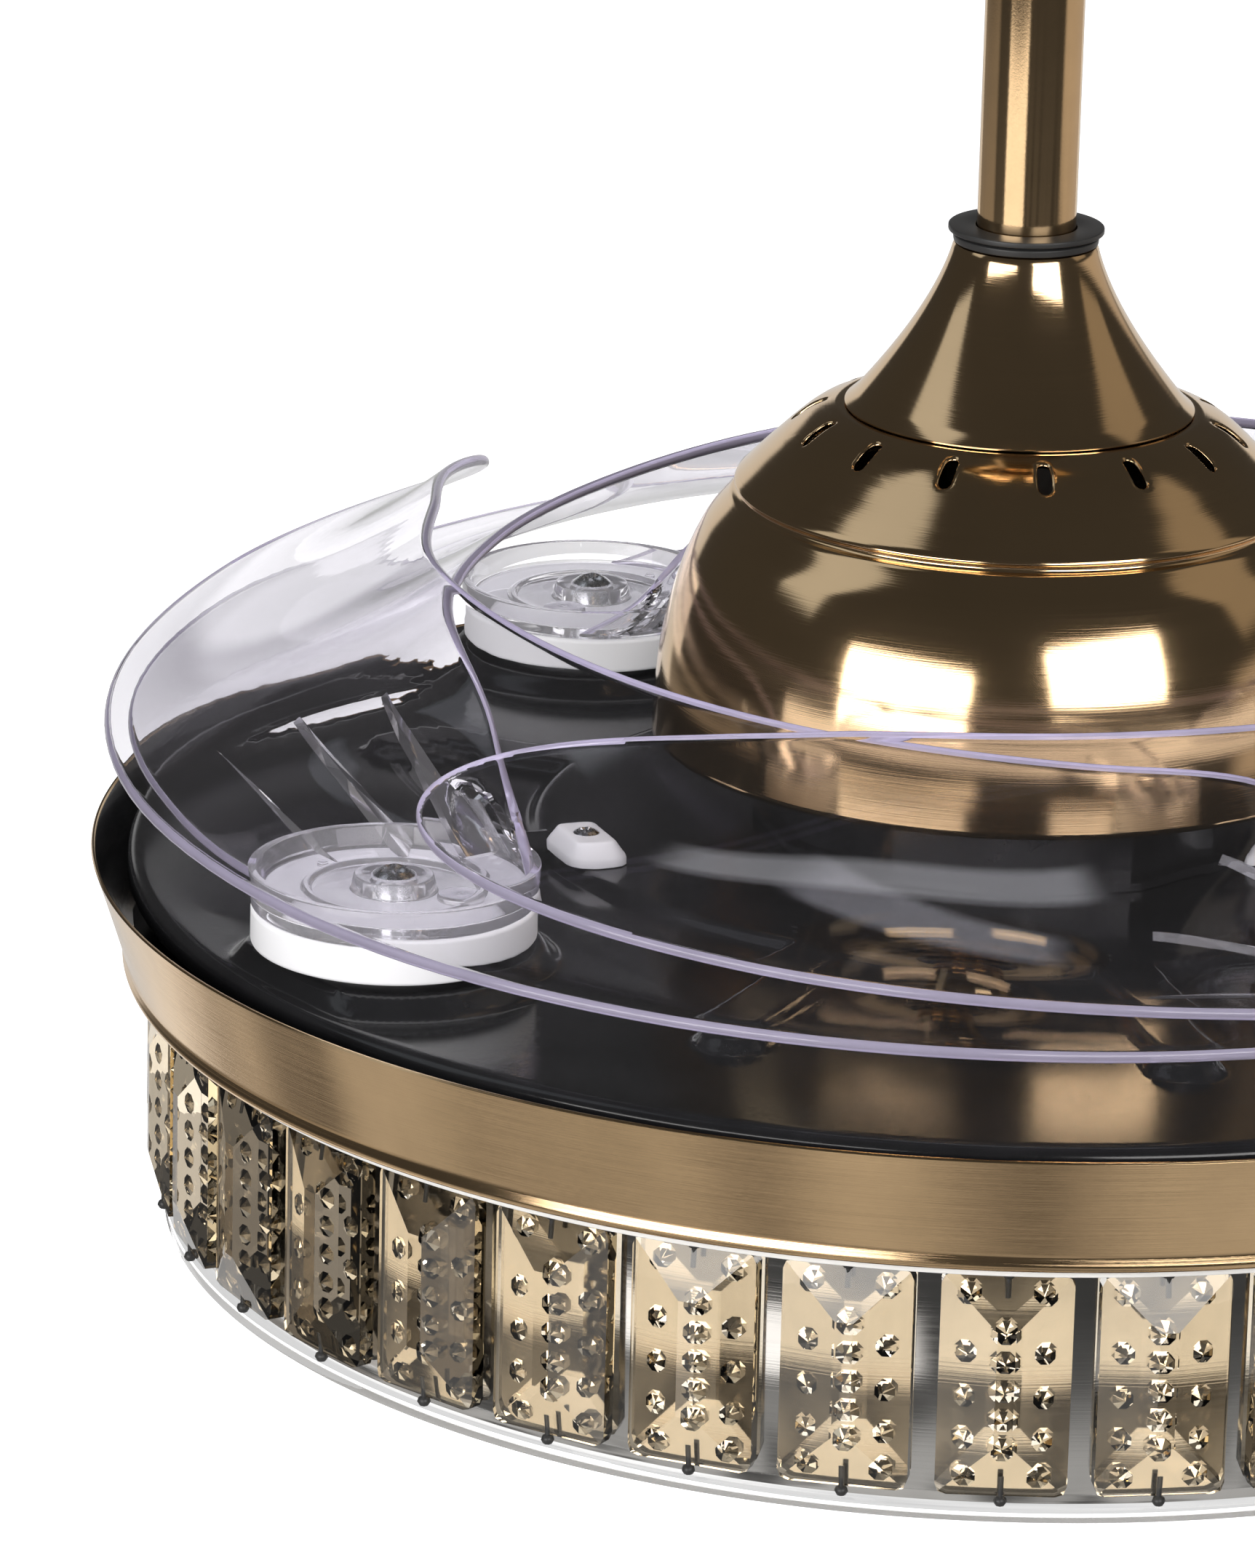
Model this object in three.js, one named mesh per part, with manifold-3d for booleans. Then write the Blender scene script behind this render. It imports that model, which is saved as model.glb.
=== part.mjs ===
// Retractable-blade ceiling fan with a crystal-trimmed lamp.
//
// A downrod hangs from a ball seat in a ceiling bracket. It carries the fixed hollow shaft, the motor
// dome and, through the hollow shaft, the lamp below. Between dome and lamp turns the blade tray with
// four clear blades that lie curled round the dome when the fan is off. Each blade stands on a nylon
// hub with a pinion under the tray, and one toothed sync ring turns all four pinions together.
//
// Units are millimetres and degrees, +Z is up. The origin is the middle of the ceiling bracket's top
// face. Inside the group "fan" heights are measured from the top edge of the metal rim band.

import * as THREE from 'three';
import { mergeVertices } from 'three/addons/utils/BufferGeometryUtils.js';
import Module from 'manifold-3d';

const wasm = await Module();
wasm.setup();

// ---------------------------------------------------------------- driving dimensions

const seatGap = 0.3;            // air left between neighbouring pieces
const sheetWall = 1.2;          // pressed sheet metal of the covers
const lampFacets = 36;          // flat facets round the tray and the lamp
const coverFacets = 22;         // round dome, bell, canopy and hubs
const columnFacets = 12;        // round rod, shaft and motor
const smallFacets = 8;          // round screws and pins

// hanging gear
const rodRadius = 13.35;
const rodBore = 10.8;
const rodLength = 258;
const rodBottom = 112;          // lower end of the rod above the rim plane
const ballRadius = 22;
const ballBelowRodTop = 18;     // ball centre under the rod's upper end
const ballDrop = 42;            // ball centre under the ceiling
const ballPinRadius = 2.5;
const bracketLength = 132;
const bracketWidth = 44;
const bracketPlate = 3;
const bracketLegSpan = 76;
const cradleThickness = 6;
const cradleMouth = 34;
const seatAngle = 60;           // where the ball bears on its seat, from straight below
const slotLength = 18;
const slotWidth = 6.5;
const tabWidth = 16;
const tabDepth = 13;
const canopyRadius = 70;
const canopyHeight = 66;
const canopyHole = 20.5;
const canopyScrewDrop = 8;
const canopyScrewRadius = 1.8;
const canopyScrewHead = 4;
const receiverSize = [56, 34, 14];

// collar, bell and dome
const collarFlangeRadius = 21;
const collarFlange = 1.6;
const collarRingRadius = 19.5;
const collarRing = 1.9;
const collarGroove = 0.9;
const bellTopRadius = 19.4;
const bellTopHeight = 170.5;
const bellBaseRadius = 47;
const bellHole = 14.6;
const bellWaistRadius = 24.2;   // pulls the bell's flare into its bow
const domeTopHeight = 124.7;
const domeHole = 21;
const domeShoulder = [[57.5, 121], [68.5, 111]];
const domeStepRadius = 76.6;
const domeStepHeight = 102.2;
const domeStepDrop = 2.8;
const domeStepIn = 1.4;
const domeFlank = [[84.6, 90], [91.4, 74], [95.8, 54]];
const domeRimRadius = 97;
const domeRimHeight = 31;
const ventCount = 14;
const ventInner = 52.5;
const ventOuter = 61.5;
const ventWidth = 3.6;
const ventStart = 274.6;        // direction of the first vent slot

// motor and shaft
const shaftRadius = 8;
const shaftBore = 5;
const yokeRadius = 18.6;
const yokeHeight = 42;
const yokeFlangeRadius = 34;
const yokeFlange = 4;
const yokeFloor = 12;           // solid foot of the yoke under the rod socket
const rodPinRadius = 3;
const rodPinHeight = 26;        // cross pin above the rod's lower end
const caseRadius = 64;
const caseWall = 2.4;
const caseFlangeRadius = 69;
const caseSplit = 36;
const caseTop = 68;
const bearingOuter = 17;
const bearingWidth = 10;
const magnetThickness = 5;
const magnetHeight = 30;
const airGap = 0.8;
const statorPoles = 12;
const statorHeight = 26;

// blade tray, pressed from black sheet
const trayRadius = 240;
const trayWall = 1.5;
const trayLip = 7;
const plateauRadius = 127;
const plateauHeight = 4;
const plateauSlope = 5;
const bossFoot = 42.5;
const bossShoulder = 38.6;
const bossHeight = 5.6;
const ribWidth = 18;
const ribEnd = 193;
const ribTurns = [30.8, 67.2];  // directions of the pressed ribs, counted from each hub
const trayHole = 60;

// blades
const bladeCount = 4;
const firstHub = 215.2;         // direction of the first blade hub
const hubRadius = 37.5;
const hubBottom = 7.7;
const hubHeight = 9.6;
const hubStemRadius = 28.4;
const stemClearance = 1;
const bladeThickness = 3;
const discWall = 2.6;
const discRimHeight = 5.2;
const studRadius = 5;
const screwHeadRadius = 5.7;
const screwHeadRise = 2.6;
const bladeOpening = 93;         // swing of each blade from folded to open
// stations of the two long edges: turn round the fan from the hub, distance outside the hub circle,
// height over the rim plane
const innerEdge = [
  [-7, -30, 19], [-3, -36.5, 27], [2, -40, 42], [8, -43, 57], [16, -44, 67.5], [30, -48, 71],
  [50, -54, 73], [75, -56, 75.5], [100, -51, 79], [120, -43, 81.5], [140, -37, 81], [155, -22, 79],
  [171, -14, 80],
];
const outerEdge = [
  [-7, 20, 19], [6, 25, 20], [20, 32, 21], [40, 42, 24.5], [60, 47, 27], [80, 50, 30],
  [100, 50, 34.5], [120, 46.5, 38], [140, 43, 41.5], [155, 41, 46], [171, 43, 51],
];
const bladeTip = 171;           // turn at the very tip
const tipStart = 149;           // where the tip starts to round off
const bladeCurl = 1.6;          // above 1 the sheet turns up towards its inner edge
const rootStart = -40;          // the sheet leaves the clear disc between these two directions
const rootEnd = 136;
const rootBlend = 18;
const webCount = 3;
const webThickness = 2;
const webReach = 13;             // how far each web runs in over the clear disc

// sync gear
const gearModule = 2.5;
const ringTeeth = 140;
const pinionTeeth = 20;
const gearTop = -4;
const gearHeight = 8.4;
const syncInner = 112;
const syncOuter = 167;
const pressureAngle = 20;
const toothThinning = 0.45;     // share of the pitch that a tooth fills
const carrierInner = 150;
const carrierMargin = 12;         // the carrier ring ends this far inside the tray
const carrierPlate = 2;
const pillarRadius = 4;
const pillarInset = 10;           // pillars stand this far inside the carrier ring's edge
const springWire = 1.2;
const springTurns = 5;
const springRadius = 11;

// nylon guide blocks on the tray
const guideCircle = 122;
const guideFirst = 200.5;         // direction of the first guide block
const guideCount = 3;
const clipCircle = 80;          // the fourth block, close to the motor
const clipAngle = 341;
const guideLength = 26;
const guideWidth = 17;
const guideHeight = 7;
const spigotRadius = 4;
const guideScrewRadius = 1.6;
const guideScrewHead = 3.5;

// lamp
const rimMargin = 10;             // the band stands this far outside the tray
const rimTaper = 10.5;            // how much narrower the band is at its lower edge
const rimHeight = 33;
const rimBead = 1.5;
const panHeight = -25;          // upper face of the lamp pan
const panWall = 1.5;
const panHole = shaftRadius + 0.3;
const drumInset = 13.1;           // the drum stands this far inside the band's lower edge
const drumWall = 1.4;
const drumBottom = -101;
const drumFlange = 5;
const crystalCount = 36;
const crystalGap = 6.2;           // mirror left showing between two crystals
const crystalHeight = 60;
const crystalThickness = 11.5;    // at the table in the middle, drum seat and all
const crystalEdge = 4.6;         // at its border
const crystalTop = -36.9;
const crystalSeat = 0.4;        // how far a crystal's back is let into the drum
const crystalBevel = 11;
const crystalCorner = 3;
const firstCrystal = 278.7;     // direction of one crystal's middle
const stripHeight = 2.6;
const boardInner = 120;
const boardMargin = 21.4;         // the light board ends this far inside the drum
const boardWall = 1.6;
const driverSize = [92, 46, 22];
const driverOffset = 62;
const diffuserWall = 3;
const clearRingWidth = 7;
const clearRingHeight = 3.4;
const nutRadius = 14;
const nutHeight = 6;

// ---------------------------------------------------------------- sizes that follow

const rodTop = rodBottom + rodLength;
const ballHeight = rodTop - ballBelowRodTop;
const dropToRim = ballHeight + ballDrop;
const rimTopRadius = trayRadius + rimMargin;
const rimBottomRadius = rimTopRadius - rimTaper;
const drumRadius = rimBottomRadius - drumInset;
const boardOuter = drumRadius - boardMargin;
const carrierOuter = trayRadius - carrierMargin;
const pillarCircle = carrierOuter - pillarInset;
const hubCircle = gearModule * (ringTeeth + pinionTeeth) / 2;
const hubTop = hubBottom + hubHeight;
const discBottom = hubTop + seatGap;
const discTop = discBottom + discWall;
const studTop = discTop + 0.1;
const gearBottom = gearTop - gearHeight;
const carrierTop = gearBottom - seatGap;
const carrierBottom = carrierTop - carrierPlate;
const rodSocket = rodRadius + seatGap;
const yokeBottom = rodBottom - seatGap - yokeFloor;
const shaftTop = yokeBottom + yokeFloor - 1;
const caseFloor = plateauHeight + seatGap;
const panLow = -rimHeight + 0.6;
const drumTop = panLow - seatGap;
const drumFlat = drumRadius * Math.cos(Math.PI / crystalCount);
const crystalBack = drumFlat - crystalSeat;
const crystalWidth = 2 * drumRadius * Math.tan(Math.PI / crystalCount) - crystalGap;
const crystalMiddle = crystalTop - crystalHeight / 2;
const hubDirections = Array.from({ length: bladeCount }, (_, k) => firstHub + k * 360 / bladeCount);

const rad = THREE.MathUtils.degToRad;
const around = (step) => Array.from({ length: step }, (_, k) => k * 360 / step);
const onCircle = (radius, angle) => [radius * Math.cos(rad(angle)), radius * Math.sin(rad(angle))];
const smooth = (t) => { const u = Math.min(1, Math.max(0, t)); return u * u * (3 - 2 * u); };

// ---------------------------------------------------------------- solids

// A closed mesh as a manifold solid: shared vertices merged, flat triangles dropped, faces out.
function solid(geometry) {
  const bare = geometry.clone();
  bare.deleteAttribute('normal');
  bare.deleteAttribute('uv');
  const merged = mergeVertices(bare, 1e-4);
  const place = merged.attributes.position.array;
  const corners = merged.index.array;
  const kept = [];
  for (let k = 0; k < corners.length; k += 3) {
    const [a, b, c] = [corners[k], corners[k + 1], corners[k + 2]];
    if (a !== b && b !== c && c !== a) kept.push(a, b, c);
  }
  const at = (n) => new THREE.Vector3(place[3 * n], place[3 * n + 1], place[3 * n + 2]);
  let volume = 0;
  for (let k = 0; k < kept.length; k += 3) {
    volume += at(kept[k]).dot(at(kept[k + 1]).cross(at(kept[k + 2])));
  }
  if (volume < 0) kept.reverse();
  const mesh = new wasm.Mesh({
    numProp: 3, vertProperties: new Float32Array(place), triVerts: new Uint32Array(kept),
  });
  return new wasm.Manifold(mesh);
}

function geometryOf(body) {
  const mesh = body.getMesh();
  const geometry = new THREE.BufferGeometry();
  geometry.setAttribute('position', new THREE.BufferAttribute(mesh.vertProperties, 3));
  geometry.setIndex(new THREE.BufferAttribute(mesh.triVerts, 1));
  geometry.computeVertexNormals();
  return geometry;
}

// A profile of [radius, height] points turned about the Z axis. It closes on itself or on the axis.
function turned(profile, steps, start = 0) {
  const points = profile.map(([r, z]) => new THREE.Vector2(r, z));
  if (profile[0][0] > 0 || profile[profile.length - 1][0] > 0) points.push(points[0].clone());
  const geometry = new THREE.LatheGeometry(points, steps, rad(start));
  geometry.rotateX(Math.PI / 2);
  return solid(geometry);
}

const ring = (inner, outer, low, high, steps) => turned(
  [[inner, low], [outer, low], [outer, high], [inner, high]], steps);
const disc = (radius, low, high, steps) => turned(
  [[0, low], [radius, low], [radius, high], [0, high]], steps);

// A flat outline of [x, y] points raised from one height to another.
function raised(outline, low, high) {
  const shape = new THREE.Shape(outline.map(([x, y]) => new THREE.Vector2(x, y)));
  const geometry = new THREE.ExtrudeGeometry(shape, { depth: high - low, bevelEnabled: false });
  return solid(geometry).translate([0, 0, low]);
}

function block(size, centre) {
  const geometry = new THREE.BoxGeometry(...size);
  return solid(geometry).translate(centre);
}

// A rectangle with round ends along X, as an outline.
function stadium(length, width, steps = 5) {
  const r = width / 2;
  const reach = length / 2 - r;
  const points = [];
  for (const side of [1, -1]) {
    for (let k = 0; k <= steps; k += 1) {
      const turn = -Math.PI / 2 + Math.PI * k / steps;
      points.push([side * (reach + r * Math.cos(turn)), side * r * Math.sin(turn)]);
    }
  }
  return points;
}

// The same curve moved inwards by the wall, from its last point back to its first.
function innerSide(curve, wall) {
  const moved = curve.map(([r, z], k) => {
    const [r0, z0] = curve[Math.max(0, k - 1)];
    const [r1, z1] = curve[Math.min(curve.length - 1, k + 1)];
    const long = Math.hypot(r1 - r0, z1 - z0);
    return [r + wall * (z1 - z0) / long, z - wall * (r1 - r0) / long];
  });
  return moved.reverse();
}

// Points of a quadratic curve from one end to the other.
function bow(from, control, to, steps) {
  return Array.from({ length: steps + 1 }, (_, k) => {
    const t = k / steps;
    const mix = (n) => (1 - t) ** 2 * from[n] + 2 * t * (1 - t) * control[n] + t * t * to[n];
    return [mix(0), mix(1)];
  });
}

// Radius of a faceted hole whose flats clear a pin by the seat gap.
const clearHole = (radius) => (radius + seatGap) / Math.cos(Math.PI / smallFacets);

const hole = (radius, low, high, place, steps = smallFacets) => disc(radius, low, high, steps).translate(
  [place[0], place[1], 0]);

// A pin or hole lying along X through a point.
function crossPin(radius, length, height, steps = smallFacets) {
  const geometry = new THREE.CylinderGeometry(radius, radius, length, steps);
  geometry.rotateZ(Math.PI / 2);
  return solid(geometry).translate([0, 0, height]);
}

// The outer skin alone, without the sealed pockets that joined sheets can leave between them.
const outerShell = (body) => body.decompose().reduce((a, b) => (a.volume() > b.volume() ? a : b));

const turnedTo = (body, angle) => body.rotate([0, 0, angle]);

// ---------------------------------------------------------------- materials

function finish(colour, roughness, metalness, more = {}) {
  return new THREE.MeshStandardMaterial({ color: colour, roughness, metalness, ...more });
}
const roseGold = finish(0xb58d6e, 0.12, 1);
const blackCoat = finish(0x121212, 0.35, 0.4);
const blackPlastic = finish(0x18191b, 0.45, 0);
const whiteNylon = finish(0xeeeef2, 0.45, 0);
const zincSteel = finish(0xb9bcc0, 0.3, 1);
const rawSteel = finish(0x8d8f92, 0.45, 1);
const mirrorSteel = finish(0xc9c8c4, 0.06, 1);
const copperCore = finish(0x8a5a34, 0.5, 0.6);
const opal = finish(0xf6f4ee, 0.4, 0);
const clear = finish(0xd9d2e6, 0.06, 0, { transparent: true, opacity: 0.35 });

// ---------------------------------------------------------------- ceiling mount

// Hanger plate with two legs, a cradle with a conical ball seat and two tabs for the canopy screws.
function ceilingBracket() {
  const bearing = ballRadius + seatGap;
  const [seatRadius, seatDrop] = [bearing * Math.sin(rad(seatAngle)), bearing * Math.cos(rad(seatAngle))];
  const cradleTop = -ballDrop - seatDrop + cradleThickness / 2;
  const cradleLow = cradleTop - cradleThickness;
  const [end, half] = [bracketLength / 2, bracketWidth / 2];
  const corner = tabWidth / 2 + 2;
  let body = raised([[end, -corner], [end, corner], [bracketLegSpan / 2, half], [-bracketLegSpan / 2, half],
    [-end, corner], [-end, -corner], [-bracketLegSpan / 2, -half], [bracketLegSpan / 2, -half]],
  -bracketPlate, 0);
  for (const side of [1, -1]) {
    const legX = side * (bracketLegSpan - bracketPlate) / 2;
    const legTop = -bracketPlate / 2;
    const legTall = legTop - cradleLow;
    body = body.add(block([bracketPlate, bracketWidth, legTall], [legX, 0, legTop - legTall / 2]));
    const tabX = side * (bracketLength - bracketPlate) / 2;
    body = body.add(block([bracketPlate, tabWidth, tabDepth], [tabX, 0, -tabDepth / 2]));
    const slot = raised(stadium(slotLength, slotWidth), -2 * bracketPlate, bracketPlate);
    const slotX = side * (bracketLegSpan / 2 + (bracketLength - bracketLegSpan) / 4);
    body = body.subtract(slot.translate([slotX, 0, 0]));
  }
  const middle = [0, 0, (cradleTop + cradleLow) / 2];
  body = body.add(block([bracketLegSpan, bracketWidth, cradleThickness], middle));
  const flat = 1 / Math.cos(Math.PI / columnFacets);
  const spread = cradleThickness / Math.tan(rad(seatAngle));
  const seat = turned([[0, cradleLow - cradleThickness / 2], [(seatRadius - spread) * flat,
    cradleLow - cradleThickness / 2], [(seatRadius + spread) * flat, cradleTop + cradleThickness / 2],
  [0, cradleTop + cradleThickness / 2]], columnFacets);
  const mouth = block([cradleMouth, bracketWidth, 2 * cradleThickness], [0, -half, middle[2]]);
  return body.subtract(seat).subtract(mouth)
    .subtract(crossPin(clearHole(canopyScrewRadius), 2 * bracketLength, -canopyScrewDrop));
}

// Deep round cup that covers the bracket. Its lower end has the hole for the rod.
function canopy() {
  const steps = 4;
  const outside = Array.from({ length: steps + 1 }, (_, k) => {
    const turn = Math.PI / 2 * k / steps;
    const reach = canopyRadius - canopyHole - sheetWall;
    return [canopyHole + sheetWall + reach * Math.cos(turn) ** 0.72,
      -seatGap - (canopyHeight - seatGap) * Math.sin(turn)];
  });
  const body = turned([...outside, ...innerSide(outside, -sheetWall)], coverFacets);
  const holes = crossPin(clearHole(canopyScrewRadius), 3 * canopyRadius, -canopyScrewDrop);
  return body.subtract(holes);
}

function canopyScrew() {
  const seat = canopyRadius + seatGap;
  const shankEnd = bracketLength / 2 - bracketPlate - 3;
  const profile = [
    [0, shankEnd], [canopyScrewRadius, shankEnd], [canopyScrewRadius, seat], [canopyScrewHead, seat],
    [0, seat + 2.2],
  ];
  return turned(profile, smallFacets).rotate([0, 90, 0]).translate([0, 0, -canopyScrewDrop]);
}

function receiver() {
  const [x, y, z] = receiverSize;
  const shape = stadium(x, y * 0.3).map(([px, py]) => [px, py + Math.sign(py) * y * 0.35]);
  return raised(shape, -bracketPlate - seatGap - z, -bracketPlate - seatGap);
}

// ---------------------------------------------------------------- hanging column

function hangerBall() {
  const ball = solid(new THREE.SphereGeometry(ballRadius, columnFacets, 10)).rotate([90, 0, 0]);
  const flat = block([3 * ballRadius, 3 * ballRadius, ballRadius], [0, 0, ballBelowRodTop - 2 + ballRadius / 2]);
  const body = ball.subtract(disc(rodSocket, -2 * ballRadius, 2 * ballRadius, columnFacets)).subtract(flat);
  return body.subtract(crossPin(clearHole(ballPinRadius), 3 * ballRadius, 0)).translate([0, 0, ballHeight]);
}

function downrod() {
  const body = ring(rodBore, rodRadius, rodBottom, rodTop, columnFacets);
  const upper = crossPin(clearHole(ballPinRadius), 4 * rodRadius, ballHeight);
  return body.subtract(upper).subtract(crossPin(clearHole(rodPinRadius), 4 * rodRadius, rodBottom + rodPinHeight));
}

function yoke() {
  const top = yokeBottom + yokeHeight;
  const profile = [
    [shaftRadius + seatGap, yokeBottom], [yokeRadius - 4, yokeBottom], [yokeRadius, yokeBottom + 4],
    [yokeRadius, top], [rodSocket, top], [rodSocket, yokeBottom + yokeFloor],
    [shaftRadius + seatGap, yokeBottom + yokeFloor],
  ];
  const flangeTop = domeTopHeight - sheetWall - seatGap;
  const flange = ring(yokeRadius - 1, yokeFlangeRadius, flangeTop - yokeFlange, flangeTop, columnFacets);
  const body = turned(profile, columnFacets).add(flange);
  return body.subtract(crossPin(clearHole(rodPinRadius), 4 * yokeRadius, rodBottom + rodPinHeight));
}

function collar() {
  const low = bellTopHeight + seatGap;
  const grooveLow = low + collarRing;
  const grooveHigh = grooveLow + collarGroove;
  return turned([
    [rodSocket, low], [collarRingRadius, low], [collarRingRadius, grooveLow],
    [collarRingRadius - 1.2, grooveLow], [collarRingRadius - 1.2, grooveHigh],
    [collarFlangeRadius, grooveHigh], [collarFlangeRadius, grooveHigh + collarFlange],
    [rodSocket, grooveHigh + collarFlange],
  ], columnFacets + 4);
}

// Trumpet-shaped cover between collar and dome, its flare a single bow.
function bellCover() {
  const base = domeTopHeight + seatGap;
  const flare = bow([bellTopRadius, bellTopHeight], [bellWaistRadius, (bellTopHeight + base) / 2 + 3.7],
    [bellBaseRadius, base], 4);
  const outside = [[bellHole, bellTopHeight], ...flare];
  const inside = [[bellBaseRadius - sheetWall * 1.6, base], ...innerSide(flare, -sheetWall).slice(1, -1),
    [bellTopRadius - sheetWall, bellTopHeight - sheetWall], [bellHole, bellTopHeight - sheetWall]];
  return turned([...outside, ...inside], coverFacets);
}

// Motor dome: a flat crown under the bell, a vented shoulder, a pressed step and a long flank.
function domeOutside() {
  return [
    [domeHole, domeTopHeight], [bellBaseRadius + 1, domeTopHeight], ...domeShoulder,
    [domeStepRadius, domeStepHeight], [domeStepRadius - domeStepIn, domeStepHeight - domeStepDrop / 2],
    [domeStepRadius + 0.6, domeStepHeight - domeStepDrop], ...domeFlank, [domeRimRadius, domeRimHeight],
  ];
}

function domeCover() {
  const outside = domeOutside();
  const plain = outside.filter((point, k) => k !== outside.length - domeFlank.length - 3);
  const inside = innerSide(plain, -sheetWall);
  inside[0] = [domeRimRadius - sheetWall, domeRimHeight];
  inside[inside.length - 1] = [domeHole, domeTopHeight - sheetWall];
  let body = turned([...outside, ...inside], coverFacets + 2);
  const length = ventOuter - ventInner;
  const slot = raised(stadium(length, ventWidth, 2), domeStepHeight, domeTopHeight + 5)
    .translate([(ventInner + ventOuter) / 2, 0, 0]);
  for (const angle of around(ventCount)) body = body.subtract(turnedTo(slot, ventStart + angle));
  return body;
}

// ---------------------------------------------------------------- motor

function hollowShaft() {
  return ring(shaftBore, shaftRadius, panHeight - panWall - nutHeight - 3, shaftTop, columnFacets);
}

function bearingAt(low) {
  return ring(shaftRadius + 0.1, bearingOuter, low, low + bearingWidth, columnFacets);
}

function lowerCase() {
  const seat = bearingOuter + 0.1;
  const seatWall = seat + 3;
  const floorTop = caseFloor + caseWall;
  const boss = caseFloor + bearingWidth + 2;
  return turned([
    [shaftRadius + 2, caseFloor], [caseFlangeRadius, caseFloor], [caseFlangeRadius, floorTop],
    [caseRadius, floorTop], [caseRadius, caseSplit], [caseRadius - caseWall, caseSplit],
    [caseRadius - caseWall, floorTop], [seatWall, floorTop], [seatWall, boss], [seat, boss],
    [seat, floorTop], [shaftRadius + 2, floorTop],
  ], columnFacets);
}

function upperCase() {
  const seat = bearingOuter + 0.1;
  const seatWall = seat + 3;
  const ceiling = caseTop - caseWall;
  const boss = ceiling - bearingWidth;
  const split = caseSplit + seatGap;
  return turned([
    [shaftRadius + 2, caseTop], [caseRadius - 8, caseTop], [caseRadius, caseTop - 8], [caseRadius, split],
    [caseRadius - caseWall, split], [caseRadius - caseWall, caseTop - 9], [caseRadius - 9, ceiling],
    [seatWall, ceiling], [seatWall, boss], [seat, boss], [seat, ceiling], [shaftRadius + 2, ceiling],
  ], columnFacets);
}

const motorMiddle = (caseFloor + caseTop) / 2;
const magnetOuter = caseRadius - caseWall - seatGap;
const magnetInner = magnetOuter - magnetThickness;

function magnetRing() {
  const low = motorMiddle - magnetHeight / 2;
  return ring(magnetInner, magnetOuter, low, low + magnetHeight, columnFacets);
}

// Laminated core with its poles, pressed on the fixed shaft.
function stator() {
  const tip = magnetInner * Math.cos(Math.PI / columnFacets) - airGap;
  const low = motorMiddle - statorHeight / 2;
  const root = tip * 0.5;
  const outline = around(statorPoles).flatMap((angle) => {
    const pitch = 360 / statorPoles;
    return [[root, -0.2], [tip, -0.42], [tip, 0.42], [root, 0.2]].map(([r, share]) => onCircle(r, angle + share * pitch));
  });
  return raised(outline, low, low + statorHeight).subtract(
    disc(shaftRadius + seatGap, low - 1, low + statorHeight + 1, columnFacets));
}

// ---------------------------------------------------------------- blade tray

// Pressed sheet disc: raised middle, raised ring round each hub, raised ribs, and a rolled-down edge.
function trayPlate() {
  const slopeEnd = plateauRadius + plateauSlope;
  const flatEnd = trayRadius - 4;
  const outside = [
    [trayHole, plateauHeight], [plateauRadius, plateauHeight], [slopeEnd, 0], [flatEnd, 0],
    [trayRadius, -3.4], [trayRadius, -trayLip],
  ];
  const inside = [
    [trayRadius - trayWall, -trayLip], [flatEnd, -trayWall],
    [slopeEnd - 1, -trayWall], [plateauRadius - 1, plateauHeight - trayWall],
    [trayHole, plateauHeight - trayWall],
  ];
  return turned([...outside, ...inside], lampFacets);
}

const hubBoss = () => turned([
  [bossFoot, 0], [bossShoulder, bossHeight * 0.7], [bossShoulder - 4, bossHeight],
  [hubStemRadius + stemClearance, bossHeight], [hubStemRadius + stemClearance, bossHeight - trayWall],
  [bossShoulder - 4, bossHeight - trayWall], [bossFoot, -trayWall],
], coverFacets - 6);

function trayRib() {
  const from = plateauRadius - 6;
  const length = ribEnd - from;
  const outline = stadium(length, ribWidth, 3).map(([x, y]) => [x + from + length / 2, y]);
  return raised(outline, -trayWall / 2, plateauHeight - 0.01);
}

function bladeTray() {
  let body = trayPlate();
  const rib = trayRib();
  for (const direction of hubDirections) {
    for (const turn of ribTurns) body = body.add(turnedTo(rib, direction + turn));
    const [x, y] = onCircle(hubCircle, direction);
    body = body.subtract(hole(bossFoot - 0.4, -trayWall - 1, bossHeight + 5, [x, y], coverFacets - 6));
    body = body.add(hubBoss().translate([x, y, 0]));
  }
  for (const [radius, angle] of guidePlaces()) {
    body = body.subtract(hole(clearHole(spigotRadius), -5, plateauHeight + 2, onCircle(radius, angle)));
  }
  return body;
}

// ---------------------------------------------------------------- nylon guides

function guidePlaces() {
  const guides = around(guideCount).map((angle) => [guideCircle, guideFirst + angle]);
  return [...guides, [clipCircle, clipAngle]];
}

// Oblong block with sloping sides. Its spigot drops through the tray into the sync ring's slot.
function guideBlock(spigotLow) {
  const low = plateauHeight + seatGap;
  const outline = [[-0.5, -0.2], [-0.3, -0.5], [0.26, -0.5], [0.5, -0.16], [0.5, 0.2], [0.2, 0.5],
    [-0.32, 0.5], [-0.5, 0.24]].map(([x, y]) => [y * guideWidth, -x * guideLength]);
  const foot = raised(outline, low, low + guideHeight);
  const slope = turned([[0, low - 1], [guideLength * 0.62, low - 1], [guideLength * 0.47, low + guideHeight * 0.45],
    [guideScrewHead + 1.5, low + guideHeight], [0, low + guideHeight]], smallFacets);
  const spigot = disc(spigotRadius, spigotLow, low + 1, smallFacets);
  const body = foot.intersect(slope).add(spigot);
  return body.subtract(disc(clearHole(guideScrewRadius), low - 4, low + guideHeight + 1, smallFacets));
}

function guideScrew() {
  const seat = plateauHeight + 2 * seatGap + guideHeight;
  return turned([
    [0, seat - guideHeight - 2], [guideScrewRadius, seat - guideHeight - 2], [guideScrewRadius, seat],
    [guideScrewHead, seat], [guideScrewHead * 0.7, seat + 1.6], [0, seat + 2.2],
  ], smallFacets);
}

// ---------------------------------------------------------------- sync gear

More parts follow.
